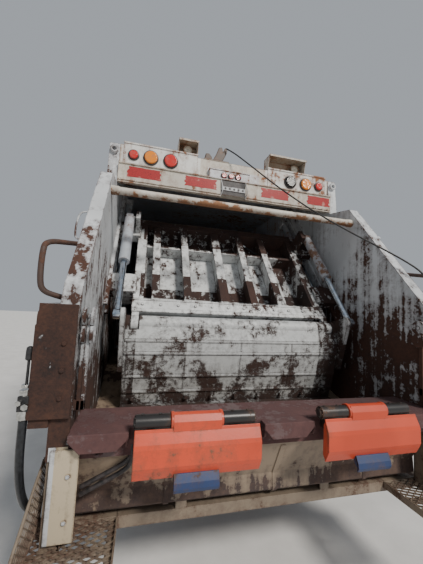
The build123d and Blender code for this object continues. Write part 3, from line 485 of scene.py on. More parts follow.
# Side marker lamps stand in a row along the bottom rail of the body: an amber lens on a black rubber base, held
# by two screws.
marker_amber = mottled("marker_amber", (0.62, 0.18, 0.02), (0.8, 0.27, 0.03), 30.0, 0.2)
marker_bases, marker_lenses = bmesh.new(), bmesh.new()
for place in (1.85, 0.95, 0.05, -0.75):
    pair(marker_bases, (1.179, place - 0.055, 1.172), (1.188, place + 0.055, 1.222))
    pair(marker_lenses, (1.187, place - 0.045, 1.18), (1.203, place + 0.045, 1.214))
new_piece("marker_bases", marker_bases, "root", guard_plastic, 0.003)
new_piece("marker_lenses", marker_lenses, "root", marker_amber, 0.006)

# The lift cylinders have painted barrels with a ringed gland and hard-chromed rods with a film of oil.
rod_chrome = mottled("rod_chrome", (0.42, 0.5, 0.6), (0.7, 0.76, 0.82), 30.0, 0.14, 1.0, 0.08)
cylinder_paint = worn_paint("cylinder_paint", (0.46, 0.5, 0.55), ((0.07, 0.045, 0.035), (0.24, 0.13, 0.08)), 0.45,
                            14.0, edges=0.7)
dress(rod_chrome, "lift_rod_left", "lift_rod_right", "sweep_rod_left", "sweep_rod_right", "slide_rods")
dress(cylinder_paint, "lift_barrel_left", "lift_barrel_right", "sweep_barrel_left", "sweep_barrel_right",
      "slide_barrels")

# The tailgate's side walls are one steel plate each, folded at the sloping rear edge. Their white paint is chalky
# above and turns near black towards the bottom, and the bent corner plates at the sill have almost no paint left.
gate_paint = worn_paint(
    "gate_paint", (0.6, 0.62, 0.64), ((0.012, 0.008, 0.008), (0.085, 0.036, 0.022)), 0.2, 9.0, runs=0.34, edges=0.8,
    grime_and_shade=((1.05, 2.15, 0.17),),
    spread=(((1.045, -4.03, 1.12), (1.24, -3.99, 1.7), 0.12), ((-1.24, -4.03, 1.14), (-1.045, -3.99, 1.7), 0.12),
            ((-1.13, -4.03, 0.6), (-0.98, -3.93, 1.02), -0.16), ((0.98, -4.03, 0.6), (1.13, -3.93, 1.02), -0.12)),
    tints=(((-1.1, -4.01, 0.6), (-0.99, -3.9, 1.02), (0.5, 0.42, 0.3)),
           ((0.99, -4.01, 0.6), (1.1, -3.9, 1.02), (0.42, 0.36, 0.28)),
           ((-1.25, -4.03, 1.16), (-1.188, -3.95, 1.5), (0.02, 0.02, 0.02))))
dress(gate_paint, "tailgate_wall_left", "tailgate_wall_right")
edge_rows = ((-3.95, 1.75), (-3.26, 2.64))
for side_name, side in both_sides:
    heads = bmesh.new()
    for step in range(7):
        share = (step + 0.5) / 7
        along = edge_rows[0][0] + (edge_rows[1][0] - edge_rows[0][0]) * share + 0.06
        height = edge_rows[0][1] + (edge_rows[1][1] - edge_rows[0][1]) * share
        stud(heads, (side * 1.14, along, height), (side, 0, 0), 0.014, 0.01)
    for height in (1.24, 1.36, 1.48):
        stud(heads, (side * 1.1, -4.014, height), (0, -1, 0), 0.011, 0.009)
    slab(heads, (1.139, -3.6, 1.12), (1.151, -2.06, 1.136), side)
    new_piece(f"wall_bolts_{side_name}", heads, "tailgate", gate_paint, 0.0015)


# A bent plate wraps each wall's rear corner above the sill, with a rounded outer corner. Inside it hangs the latch
# that holds a container: round cheeks on two pins, and a long flat bar. A white flange frames the skin below.
post_plate_rear, post_plate_front = -4.014, -3.9995
for side_name, side in both_sides:
    bent = bmesh.new()
    outline = [(1.054, 1.15), (1.222, 1.15), (1.222, 1.6)]
    outline += [(1.167 + 0.055 * math.cos(turn), 1.6 + 0.055 * math.sin(turn))
                for turn in [math.radians(15 * step) for step in range(1, 7)]]
    cut_sheet(bent, on_side(side, outline + [(1.054, 1.655)]), post_plate_rear, post_plate_front, False)
    slab(bent, (1.219, post_plate_rear, 1.152), (1.226, -3.78, 1.56), side)
    new_piece(f"corner_plate_{side_name}", bent, "tailgate", gate_paint, 0.003)
    latch = bmesh.new()
    for height in (1.518, 1.6):
        for across, radius, high, facets in ((0.982, 0.012, 0.072, 20), (0.985, 0.045, 0.018, 32),
                                             (1.022, 0.045, 0.018, 32)):
            stud(latch, (side * across, -3.961, height), (side, 0, 0), radius, high, facets)
    for inner, outer, top in ((1.003, 1.022, 1.56), (1.022, 1.04, 1.478), (1.003, 1.054, 1.215)):
        slab(latch, (inner, -3.973, 1.17), (outer, -3.949, top), side)
    new_piece(f"container_latch_{side_name}", latch, "tailgate", gate_paint, 0.003)
    flange = bmesh.new()
    slab(flange, (1.0, -4.002, 0.62), (1.12, -3.9895, 1.01), side)
    slab(flange, (1.108, -3.99, 0.64), (1.12, -3.94, 0.955), side)
    for height in (0.69, 0.88):
        slab(flange, (1.06, -3.992, height), (1.112, -3.979, height + 0.04), side)
        stud(flange, (side * 1.04, -4.002, height + 0.02), (0, -1, 0), 0.011, 0.009)
    new_piece(f"skin_flange_{side_name}", flange, "tailgate", gate_paint, 0.0025)


# A bent grab handle of round bar is welded to the outside of each wall for the worker on the step, rusty where it
# is held. A lifting eye stands on the wall's edge below the roof.
def pipe(name, points, radius, body, finish):
    """A bent pipe or rod of one thickness through its points, as a mesh."""
    holder = hung_line(name + "_line", points, radius * 2, finish)
    mesh = bpy.data.meshes.new_from_object(holder)
    bpy.data.objects.remove(holder)
    mesh.name = name
    piece = bpy.data.objects.new(name, mesh)
    bpy.context.scene.collection.objects.link(piece)
    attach(piece, body)
    return piece


handle_rust = worn_paint("handle_rust", (0.08, 0.05, 0.04), ((0.03, 0.018, 0.014), (0.13, 0.062, 0.04)), 0.6, 16.0,
                         runs=0.1, edges=0.1, rough=0.6)
handle_bends = ((1.136, -3.545, 2.022), (1.19, -3.7, 1.995), (1.256, -3.888, 1.962), (1.262, -3.902, 1.9),
                (1.262, -3.902, 1.77), (1.25, -3.895, 1.712), (1.19, -3.855, 1.69), (1.136, -3.818, 1.675))
for side_name, side in both_sides:
    pipe(f"grab_handle_{side_name}", on_side(side, handle_bends), 0.014, "tailgate", handle_rust)
    eye_ring = bmesh.new()
    lathe(eye_ring, ((0.018, -0.016), (0.032, -0.016), (0.036, -0.01), (0.036, 0.01), (0.032, 0.016),
                     (0.018, 0.016)), (side * 1.096, -2.96, 2.995), (0, 1, 0), 32)
    new_piece(f"lifting_eye_{side_name}", eye_ring, "tailgate", gate_paint)

# A thin pale hoop is welded to the outside of the left wall, and a narrow pale strip is bolted to the outside of
# the right wall just below its sloping edge.
pipe("wall_hoop", ((-1.112, -3.49, 2.25), (-1.18, -3.5, 2.25), (-1.196, -3.56, 2.2), (-1.196, -3.61, 2.08),
                   (-1.18, -3.63, 2.03), (-1.112, -3.63, 2.03)), 0.006, "tailgate", gate_paint)
band = bmesh.new()
cut_sheet(band, ((-3.456, 2.357), (-3.279, 2.586), (-3.232, 2.549), (-3.409, 2.32)), 1.139, 1.178)
cut_sheet(band, ((-3.48, 2.33), (-3.462, 2.352), (-3.4, 2.304), (-3.418, 2.282)), 1.139, 1.192)
new_piece("wall_band", band, "tailgate", gate_paint, 0.003)

# The hydraulic fittings on the left corner post are plated steel: hexagon nuts at both ends of the hose, and a
# lever with a black ball grip over the valve.
fitting_steel = mottled("fitting_steel", (0.4, 0.4, 0.38), (0.72, 0.72, 0.7), 50.0, 0.22, 1.0, 0.15)
valve_axis = (-1.2415, -3.992)
fittings = bmesh.new()
for height, radius, high in ((1.15, 0.026, 0.04), (1.25, 0.024, 0.026), (1.284, 0.019, 0.014)):
    stud(fittings, (*valve_axis, height), (0, 0, 1), radius, high)
stud(fittings, (-1.228, -4.017, 1.212), (0, -1, 0), 0.015, 0.018)
stud(fittings, (-1.252, -4.017, 1.23), (0, -1, 0), 0.012, 0.022)
stud(fittings, (-1.214, -3.838, 0.675), (0.42, 0.9, -0.05), 0.0245, 0.03)
stud(fittings, (1.139, -3.777, 1.812), (1, 0, 0), 0.0115, 0.016, 20)
new_piece("valve_fittings", fittings, "tailgate", fitting_steel, 0.0015)
valve_black = mottled("valve_black", (0.008, 0.008, 0.009), (0.03, 0.03, 0.032), 50.0, 0.35)
valve = bmesh.new()
slab(valve, (-1.263, -4.017, 1.188), (-1.219, -3.967, 1.252))
stud(valve, (*valve_axis, 1.296), (0, 0, 1), 0.006, 0.11, 12)
lathe(valve, ((0.001, 0.0), (0.012, 0.001), (0.0155, 0.008), (0.015, 0.04), (0.0135, 0.056), (0.007, 0.062),
              (0.001, 0.063)), (*valve_axis, 1.4), (0, 0, 1), 24)
new_piece("lifter_valve", valve, "tailgate", valve_black, 0.002)
hose_tab = bmesh.new()
slab(hose_tab, (-1.219, -3.816, 0.598), (-1.186, -3.804, 0.706))
slab(hose_tab, (-1.219, -3.806, 0.598), (-1.186, -3.792, 0.612))
new_piece("hose_tab", hose_tab, "tailgate", valve_black, 0.002)

# The hopper is a rolled steel trough, scoured bright by refuse inside and rusty outside. Its outer skin is folded
# sheet in beige paint below the sill. Towards the rounded bottom it is painted blue-black as painted shade and as a
# painted dark reflection of the ground, and it is a little darker just under the sill's edge.
hopper_steel = worn_paint(
    "hopper_steel", (0.3, 0.23, 0.165), ((0.022, 0.018, 0.024), (0.12, 0.075, 0.055)), 0.32, 7.0, runs=0.3,
    edges=0.3, grime_and_shade=((0.58, 0.84, 0.16), (1.0, 0.93, 0.06)), rough=0.5)
dress(hopper_steel, "hopper_trough")


def folded_sheet(shape, line, thick, start, end):
    """A sheet folded along a line of the side view, reaching across from start to end."""
    inner = []
    for index, (place, height) in enumerate(line):
        before, after = line[max(index - 1, 0)], line[min(index + 1, len(line) - 1)]
        way = Vector((after[0] - before[0], after[1] - before[1])).normalized()
        inner.append((place - way.y * thick, height + way.x * thick))
    cut_sheet(shape, list(line) + list(reversed(inner)), start, end)


skin_line = [(-3.976, 0.962), (-3.958, 0.938), (-3.86, 0.74)]
skin_line += [(-3.79 + 0.07 * math.sin(turn) - 0.02, 0.68 - 0.07 * math.cos(turn) + 0.012)
              for turn in [math.radians(a) for a in (-55, -40, -25, -10)]]
skin_line += [(-3.7, 0.618), (-3.15, 0.6), (-3.08, 0.622), (-2.715, 1.05)]
skin = bmesh.new()
folded_sheet(skin, skin_line, 0.008, -1.05, 1.05)
new_piece("hopper_skin", skin, "tailgate", hopper_steel, 0.002)
skin_seams = bmesh.new()
for across in (-0.6, 0.02, 0.64):
    folded_sheet(skin_seams, [(y - 0.004, z - 0.004) for y, z in skin_line[1:8]], 0.012, across, across + 0.03)
new_piece("skin_seams", skin_seams, "tailgate", hopper_steel, 0.003)

# The loading sill is a folded plate, worn through to purple-brown rust on top. Hooked plates end its three short
# lips, where the bins' rims are caught.
sill_rust = worn_paint("sill_rust", (0.15, 0.1, 0.1), ((0.055, 0.026, 0.028), (0.13, 0.062, 0.058)), 0.8, 6.0,
                       runs=0.1, edges=0.2, rough=0.42, relief=0.25,
                       tints=(((-0.8, -4.1, 0.95), (-0.11, -3.9, 1.083), (0.03, 0.022, 0.022)),
                              ((0.19, -4.1, 0.95), (0.81, -3.9, 1.083), (0.03, 0.022, 0.022))))
dress(sill_rust, "hopper_sill")
sill_lips = bmesh.new()
for across in (-0.8, -0.106, 0.184, 0.812):
    hook = [(-3.985 + 0.04 * math.sin(turn), 1.04 + 0.04 * math.cos(turn))
            for turn in [math.radians(a) for a in range(-200, 21, 20)]]
    cut_sheet(sill_lips, hook + [(-3.962, 1.084), (-3.962, 0.99)], across - 0.006, across + 0.006)
for start, end in ((-1.05, -0.792), (-0.118, 0.176), (0.804, 1.05)):
    cut_sheet(sill_lips, ((start, 1.0865), (end, 1.0865), (end, 1.058), (end - 0.05, 1.004), (start + 0.05, 1.004),
                          (start, 1.058)), -4.038, -4.029, False)
    slab(sill_lips, (start, -4.037, 1.0775), (end, -3.982, 1.0865))
    for edge in (start, end - 0.008):
        cut_sheet(sill_lips, ((-4.032, 1.08), (-4.032, 1.056), (-3.984, 1.03), (-3.984, 1.08)), edge, edge + 0.008)
new_piece("sill_lips", sill_lips, "tailgate", sill_rust, 0.004)
pipe("sill_hook", ((-0.94, -3.985, 1.012), (-0.946, -3.992, 0.985), (-0.925, -3.994, 0.97),
                   (-0.905, -3.99, 0.982)), 0.007, "tailgate", sill_rust)

# Two dark hydraulic pipes run down just behind the hopper's skin from the left actuator, held by clips.
pipe_black = mottled("pipe_black", (0.02, 0.019, 0.02), (0.06, 0.05, 0.05), 40.0, 0.4)
for index, off in enumerate((0.0, 0.034)):
    pipe(f"lifter_pipe_{index}", ((-0.995, -3.932, 0.775 + off), (-0.9, -3.945, 0.826 + off),
                                  (-0.8, -3.962, 0.882 + off), (-0.774, -3.972, 0.92 + off),
                                  (-0.772 + off, -3.976, 0.985), (-0.772 + off, -3.976, 1.008)),
         0.011, "tailgate", pipe_black)

# The roof's rear edge carries a beige channel beam with two light boxes, the small centre box and the fork that
# the cable hangs from. Orange rust shows through the beige along each fold.
beam_paint = worn_paint(
    "beam_paint", (0.6, 0.56, 0.48), ((0.06, 0.03, 0.02), (0.32, 0.14, 0.07)), 0.3, 9.0, runs=0.26, edges=0.95,
    tints=(((-0.26, -3.0, 2.864), (0.27, -2.9, 2.985), (0.62, 0.64, 0.66)),
           ((0.33, -2.99, 2.872), (1.04, -2.84, 3.096), (0.72, 0.72, 0.69)),
           ((-1.04, -2.99, 2.872), (-0.33, -2.84, 3.096), (0.72, 0.72, 0.69)),
           ((-0.3, -2.95, 3.064), (-0.05, -2.88, 3.31), (0.1, 0.075, 0.06)),
           ((-1.2, -2.8, 3.05), (1.2, -1.9, 3.4), (0.58, 0.62, 0.68))))
dress(beam_paint, "tailgate_roof")
beam_face, box_face = -2.99, -2.944
beam_trim = bmesh.new()
for across in (-1.03, -0.9, 0.72, 0.885, 0.96, 1.02):
    stud(beam_trim, (across, beam_face, 2.722), (0, -1, 0), 0.013, 0.01)
for foot, top in ((3.074, 3.09), (2.878, 2.893)):
    pair(beam_trim, (0.355, box_face - 0.006, foot), (1.024, box_face + 0.012, top))
slab(beam_trim, (-0.245, -2.9765, 2.874), (0.152, -2.938, 2.962))
slab(beam_trim, (-0.25, -2.982, 2.956), (0.157, -2.938, 2.966))
for start, end, foot in ((-1.052, 1.052, 2.862), (-1.052, -0.13, 2.696), (0.11, 1.052, 2.696)):
    slab(beam_trim, (start, beam_face - 0.01, foot), (end, beam_face + 0.002, foot + 0.012))
new_piece("beam_lips_and_bolts", beam_trim, "tailgate", beam_paint, 0.002)

# The torn fork is what is left of a bracket on the roof's edge: bent tines of thick plate on a welded foot. The
# light cable hangs from it.
fork_stub = ((-0.29, 3.06), (-0.215, 3.06), (-0.222, 3.099), (-0.25, 3.128), (-0.282, 3.124))
fork_tines = ((-0.215, 3.06), (-0.12, 3.06), (-0.098, 3.105), (-0.074, 3.16), (-0.066, 3.214), (-0.092, 3.214),
              (-0.112, 3.168), (-0.122, 3.214), (-0.154, 3.208), (-0.176, 3.141))
fork = bmesh.new()
cut_sheet(fork, fork_stub, -2.938, -2.892, False)
cut_sheet(fork, fork_tines, -2.932, -2.898, False)
slab(fork, (-0.3, -2.945, 3.058), (-0.05, -2.875, 3.072))
new_piece("torn_fork", fork, "tailgate", beam_paint, 0.006)

# The recess in the middle of the beam shows a white slotted rail, and two thin bent rods stand in front of it. A
# thin black sheet behind the rail is painted shade in the recess, and black discs on the rail are painted shade in
# its slots.
recess = bmesh.new()
slab(recess, (-0.13, -2.9915, 2.722), (0.11, -2.9895, 2.866))
new_piece("recess_painted_shade", recess, "tailgate", pipe_black, 0.0005)
recess_rail = bmesh.new()
slab(recess_rail, (-0.128, -2.9975, 2.76), (0.108, -2.991, 2.8))
new_piece("recess_rail", recess_rail, "tailgate", gate_paint, 0.002)
slots = bmesh.new()
for step in range(5):
    stud(slots, (-0.09 + step * 0.043, -2.9974, 2.78), (0, -1, 0), 0.011, 0.0012, 16)
new_piece("slot_painted_shade", slots, "tailgate", pipe_black)
for side, across in ((-1, -0.135), (1, 0.108)):
    pipe(f"recess_rod_{across}", ((across, -2.992, 2.86), (across + 0.012, -3.014, 2.8),
                                  (across + 0.016, -3.008, 2.74), (across, -2.992, 2.705)),
         0.004, "tailgate", gate_paint)

# Four strips of reflective tape are glued along the beam. Their ends are torn to a ragged line, and the red film
# has a fine honeycomb under it and has gone pale in places.
tape_red, tape_tree, tape_shader, tape_place = new_finish("tape_red", 0.32)
tape_cell = add(tape_tree, "TexVoronoi", {"Vector": tape_place, "Scale": 90.0},
                feature="DISTANCE_TO_EDGE").outputs["Distance"]
tape_film = mix(tape_tree, ramp(tape_tree, tape_cell, 0.02, 0.05), (0.16, 0.02, 0.02), (0.42, 0.03, 0.03))
tape_worn = ramp(tape_tree, cloud(tape_tree, tape_place, 14.0, 6.0), 0.6, 0.72)
tape_tree.links.new(mix(tape_tree, tape_worn, tape_film, (0.5, 0.24, 0.2)), tape_shader.inputs["Base Color"])
tape_low, tape_high, end_tear, edge_tear = 2.752, 2.848, 0.022, 0.004
ragged = random.Random(4)
tapes = bmesh.new()
for start, end in ((-0.98, -0.68), (-0.48, -0.17), (0.27, 0.58), (0.77, 1.05)):
    rises = [(tape_high - tape_low) * step / 8 for step in range(9)]
    reaches = [0.03 + (end - start - 0.06) * step / 12 for step in range(13)]
    rim = [(start + ragged.uniform(0, end_tear), tape_low + rise) for rise in rises]
    rim += [(start + reach, tape_high - ragged.uniform(0, edge_tear)) for reach in reaches]
    rim += [(end - ragged.uniform(0, end_tear), tape_high - rise) for rise in rises]
    rim += [(end - reach, tape_low + ragged.uniform(0, edge_tear)) for reach in reaches]
    for depth in (-2.9912, -2.9895):
        tapes.faces.new([tapes.verts.new((x, depth, z)) for x, z in rim])
new_piece("reflective_tapes", tapes, "tailgate", tape_red)

# The tube across the hopper's mouth is beige over steel, with orange rust all along its lower half.
tube_paint = worn_paint("tube_paint", (0.66, 0.62, 0.54), ((0.07, 0.035, 0.022), (0.32, 0.15, 0.07)), 0.22, 12.0,
                        runs=0.05, edges=0.1, grime_and_shade=((2.462, 2.52, 0.15),))
top_tube = bmesh.new()
lathe(top_tube, ((0.022, -1.0525), (0.034, -1.0525), (0.034, -1.0), (0.0295, -0.992), (0.0295, 0.992),
                 (0.034, 1.0), (0.034, 1.0525), (0.022, 1.0525)), (0.0, -3.284, 2.5), (1, 0, 0), 40)
tube_piece = new_piece("top_tube_rolled", top_tube, "tailgate", tube_paint)
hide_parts("top_tube")

# The rear lamps are moulded lenses, two red and one amber in each box and three small red ones in the middle.
# Each sits in a dark rubber ring, and one place in the right-hand box is an empty hole, painted black as the shade
# inside it.
lens_glow, lens_tree, lens_shader, lens_place = new_finish("lens_red_and_amber", 0.12)
lens_colour = (0.62, 0.035, 0.03)
for low, high, colour in (((-0.86, -3.1, 2.9), (-0.71, -2.8, 3.05), (0.85, 0.26, 0.02)),
                          ((0.71, -3.1, 2.9), (0.86, -2.8, 3.05), (0.85, 0.26, 0.02)),
                          ((-0.25, -3.1, 2.86), (0.15, -2.8, 2.96), (0.6, 0.08, 0.09))):
    lens_colour = mix(lens_tree, inside(lens_tree, lens_place, low, high), lens_colour, colour)
lens_dust = ramp(lens_tree, cloud(lens_tree, lens_place, 30.0, 4.0), 0.45, 0.7, 0.0, 0.35)
lens_colour = mix(lens_tree, lens_dust, lens_colour, (0.3, 0.22, 0.19))
hole_shade = inside(lens_tree, lens_place, (0.54, -3.1, 2.9), (0.68, -2.8, 3.05))
lens_rings = add(lens_tree, "TexWave", {"Vector": lens_place, "Scale": 70.0, "Distortion": 0.0},
                 bands_direction="Z").outputs["Fac"]
lens_colour = mix(lens_tree, hole_shade, lens_colour, (0.006, 0.006, 0.006))
surface(lens_tree, lens_shader, lens_colour, lens_rings, 0.35, 0.001)
dress(lens_glow, "rear_lamps")
lamp_height = 2.975
bezels = bmesh.new()
for side in (-1, 1):
    for across, radius in ((0.935, 0.038), (0.785, 0.057), (0.608, 0.057)):
        lathe(bezels, ((radius + 0.012, 0.0), (radius + 0.01, 0.01), (radius + 0.002, 0.013), (radius - 0.001, 0.0)),
              (side * across, box_face, lamp_height), (0, -1, 0), 40)
for across in (-0.105, -0.035, 0.035):
    lathe(bezels, ((0.0325, 0.0), (0.0305, 0.01), (0.024, 0.012), (0.0222, 0.0)), (across, -2.976, 2.91),
          (0, -1, 0), 32)
new_piece("lamp_rings", bezels, "tailgate", pipe_black)

# The two work lights stand on the light boxes: folded sheet hoods, white outside and rusty tan inside, each with a
# round lamp on a foot behind its glass.
lamp_tan = worn_paint("lamp_tan", (0.42, 0.36, 0.28), ((0.12, 0.06, 0.04), (0.34, 0.18, 0.1)), 0.38, 14.0, edges=0.8)
lamp_glass = mottled("lamp_glass", (0.5, 0.45, 0.36), (0.74, 0.7, 0.6), 40.0, 0.08)
hood_rear, hood_front, hood_foot, lamp_axis = -2.972, -2.84, 3.087, 3.143
work_glass, lamp_cans, hoods, linings = bmesh.new(), bmesh.new(), bmesh.new(), bmesh.new()
for start, end, high, across in ((-0.545, -0.36, 3.2, -0.452), (0.36, 0.77, 3.214, 0.68)):
    for edge, lean in ((start, 0.012), (end - 0.006, -0.012)):
        cut_sheet(hoods, ((hood_rear + 0.03, hood_foot), (hood_front, hood_foot), (hood_front, high),
                          (hood_rear, high)), edge, edge + 0.006)
    slab(hoods, (start, hood_rear - 0.012, high - 0.006), (end, hood_front, high))
    slab(hoods, (start, hood_front - 0.006, hood_foot), (end, hood_front, high))
    slab(hoods, (start, hood_rear - 0.014, high - 0.02), (end, hood_rear - 0.009, high))
    slab(linings, (start + 0.006, hood_front - 0.01, hood_foot), (end - 0.006, hood_front - 0.006, high - 0.006))
    slab(linings, (start + 0.006, hood_rear, high - 0.009), (end - 0.006, hood_front - 0.008, high - 0.0062))
    slab(linings, (start + 0.006, hood_rear + 0.028, hood_foot), (end - 0.006, hood_front - 0.008, hood_foot + 0.003))
    lathe(lamp_cans, ((0.001, 0.0), (0.028, 0.0), (0.043, 0.03), (0.046, 0.034), (0.046, 0.044), (0.042, 0.044),
                      (0.04, 0.036), (0.001, 0.034)), (across, -2.862, lamp_axis), (0, -1, 0), 36)
    slab(lamp_cans, (across - 0.02, -2.89, hood_foot), (across + 0.02, -2.866, 3.11))
    lathe(work_glass, ((0.001, 0.006), (0.024, 0.0045), (0.0405, 0.0), (0.0405, -0.004), (0.001, -0.004)),
          (across, -2.9, lamp_axis), (0, -1, 0), 40)
new_piece("work_lamp_hoods", hoods, "tailgate", beam_paint, 0.0015)
new_piece("work_lamp_linings", linings, "tailgate", lamp_tan, 0.0005)
new_piece("work_lamps", lamp_cans, "tailgate", lamp_tan)
new_piece("work_lamp_glass", work_glass, "tailgate", lamp_glass, smooth=True)

# The rear step is two platforms of expanded metal in angle frames, a bar between them, and two channel hangers
# under the walls. A wire mesh guard in a bent rod frame stands beside each platform.
def lattice(shape, outline, level_place, across, pitch, lean, strand):
    """Expanded metal: two families of leaning strands, cut off at the outline. across lays it in the side view."""
    for way in (-1, 1):
        reach = [b - way * lean * a for a, b in outline]
        offset = min(reach) + pitch / 2
        while offset < max(reach):
            hits = []
            for index, (a0, b0) in enumerate(outline):
                a1, b1 = outline[(index + 1) % len(outline)]
                d0, d1 = b0 - way * lean * a0 - offset, b1 - way * lean * a1 - offset
                if (d0 < 0) != (d1 < 0):
                    share = d0 / (d0 - d1)
                    hits.append(a0 + (a1 - a0) * share)
            hits.sort()
            for start, end in zip(hits[::2], hits[1::2]):
                ends = [(a, offset + way * lean * a) for a in (start, end)]
                run = Vector((ends[1][0] - ends[0][0], ends[1][1] - ends[0][1])).normalized() * strand / 2
                corners = [(ends[0][0] + run.y, ends[0][1] - run.x), (ends[1][0] + run.y, ends[1][1] - run.x),
                           (ends[1][0] - run.y, ends[1][1] + run.x), (ends[0][0] - run.y, ends[0][1] + run.x)]
                if across:
                    cut_sheet(shape, corners, level_place - strand / 2, level_place + strand / 2)
                else:
                    join(shape, *[[(a, b, level_place + lift) for a, b in corners] for lift in (-strand, strand)])
            offset += pitch


step_steel = worn_paint("step_steel", (0.24, 0.19, 0.14), ((0.022, 0.016, 0.015), (0.13, 0.075, 0.05)), 0.4, 14.0,
                        runs=0.1, edges=0.5, rough=0.6)
step_rear, step_front, step_top, step_low = -4.35, -3.79, 0.6, 0.56
step_frame, mesh_strands = bmesh.new(), bmesh.new()
slab(step_frame, (-1.22, -3.85, step_top - 0.06), (1.22, step_front, step_top))
for low, high, foot, top in (
        ((0.82, step_rear), (0.828, step_front), 0, 0.04), ((1.212, step_rear), (1.22, step_front), 0, 0.04),
        ((0.82, step_rear), (1.22, step_rear + 0.008), 0, 0.04),
        ((0.826, step_rear), (0.86, step_front), 0.012, 0.018),
        ((1.18, step_rear), (1.214, step_front), 0.012, 0.018),
        ((0.826, step_rear + 0.006), (1.214, step_rear + 0.04), 0.012, 0.018),
        ((0.826, -4.185), (1.214, -4.155), 0, 0.02), ((0.826, -4.015), (1.214, -3.985), 0, 0.02),
        ((1.056, -3.98), (1.068, -3.86), 0, 0.4), ((1.056, -3.98), (1.136, -3.972), 0, 0.4),
        ((1.056, -3.868), (1.136, -3.86), 0, 0.4)):
    pair(step_frame, (*low, step_low + foot), (*high, step_low + top))
deck = ((0.828, step_rear + 0.008), (1.212, step_rear + 0.008), (1.212, -3.852), (0.828, -3.852))
for side in (-1, 1):
    lattice(mesh_strands, on_side(side, deck), 0.591, False, 0.034, 0.55, 0.0045)
lattice(mesh_strands, [(-0.818, -3.846), (0.818, -3.846), (0.818, -3.794), (-0.818, -3.794)], 0.5965, False, 0.03,
        0.55, 0.0034)
for across in (-0.5, 0.38):
    slab(step_frame, (across - 0.03, -3.85, 0.598), (across + 0.03, -3.838, 0.68))
    slab(step_frame, (across - 0.005, -3.84, 0.598), (across + 0.005, -3.8, 0.67))
frame_piece = new_piece("step_frame", step_frame, "tailgate", step_steel, 0.0025)
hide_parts("rear_step")
new_piece("step_mesh", mesh_strands, "tailgate", step_steel)
guard_line = [(-4.336, 0.602), (-4.324, 0.64), (-4.14, 0.76), (-3.9, 0.93), (-3.6, 0.93), (-3.6, 0.775),
              (-3.878, 0.775), (-3.878, 0.602)]
guard_place = 1.17
guard_mesh = bmesh.new()
for side in (-1, 1):
    lattice(guard_mesh, guard_line, side * guard_place, True, 0.034, 0.9, 0.004)
    pipe(f"guard_frame_{side}", [(side * guard_place, *bend) for bend in guard_line + guard_line[:1]], 0.006,
         "tailgate", step_steel)
new_piece("guard_mesh", guard_mesh, "tailgate", step_steel)

# The packer is a slide panel on shoes and the sweep panel that hangs from it on a shaft. Its white paint is worn
# through to dark oily steel wherever refuse rubs it, and rust marks the folds and the ribs' foot welds.
# The slide's paint is also darkened towards its top and over its upper rear part as painted shade.
packer_paint = worn_paint(
    "packer_paint", (0.7, 0.72, 0.72), ((0.009, 0.007, 0.008), (0.06, 0.028, 0.02)), 0.33, 9.0, runs=0.34,
    edges=0.9, relief=0.8, pits=0.28, grime_and_shade=((1.5, 1.62, 0.05), (2.62, 2.36, 0.16)),
    spread=(((-0.8, -3.12, 1.72), (0.8, -2.86, 1.93), 0.11),
            ((0.62, -3.3, 1.45), (1.06, -2.2, 2.7), 0.09), ((-0.8, -2.7, 2.22), (0.8, -2.2, 2.7), 0.1)))
dress(packer_paint, "slide_panel")
sweep_paint = worn_paint(
    "sweep_paint", (0.62, 0.64, 0.64), ((0.009, 0.008, 0.009), (0.05, 0.025, 0.018)), 0.42, 26.0, runs=0.12,
    edges=1.5, grime_and_shade=((0.9, 1.3, 0.08),), relief=0.9, pits=0.34,
    spread=(((-0.93, -3.4, 0.8), (-0.8, -3.0, 1.7), 0.05), ((0.7, -3.4, 0.8), (0.93, -3.0, 1.7), 0.07)))
dress(sweep_paint, "sweep_panel")
sweep_folds = ((-3.33, 1.408), (-3.326, 1.318), (-3.29, 1.148), (-3.25, 1.028))
folds = bmesh.new()
for place, height in sweep_folds:
    folded_sheet(folds, [(place - 0.0045, height + 0.013), (place - 0.005, height), (place - 0.0035, height - 0.013)],
                 0.006, -0.876, 0.876)
for across in (-0.865, -0.44, 0.0, 0.44, 0.853):
    folded_sheet(folds, [(-3.331, 1.4), (-3.327, 1.318), (-3.2915, 1.15), (-3.2515, 1.028)], 0.005, across,
                 across + 0.012)
slab(folds, (-0.88, -3.253, 0.913), (0.88, -3.175, 0.926))
for step in range(9):
    stud(folds, (-0.8 + step * 0.2, -3.23, 0.972), (0, -1, 0), 0.016, 0.02)
new_piece("sweep_folds", folds, "sweep", sweep_paint, 0.0015)


def on_slide(along, off):
    """A point of the side view in the slide's own axes: up its track, and off it to the rear."""
    turn, foot, foot_height = math.radians(53), -3.25, 1.52
    return (foot + along * math.cos(turn) - off * math.sin(turn),
            foot_height + along * math.sin(turn) + off * math.cos(turn))


def slide_strip(shape, along0, along1, off0, off1, start, end):
    """A bar laid along the slide's track."""
    cut_sheet(shape, [on_slide(a, o) for a, o in ((along0, off0), (along1, off0), (along1, off1), (along0, off1))],
              start, end)


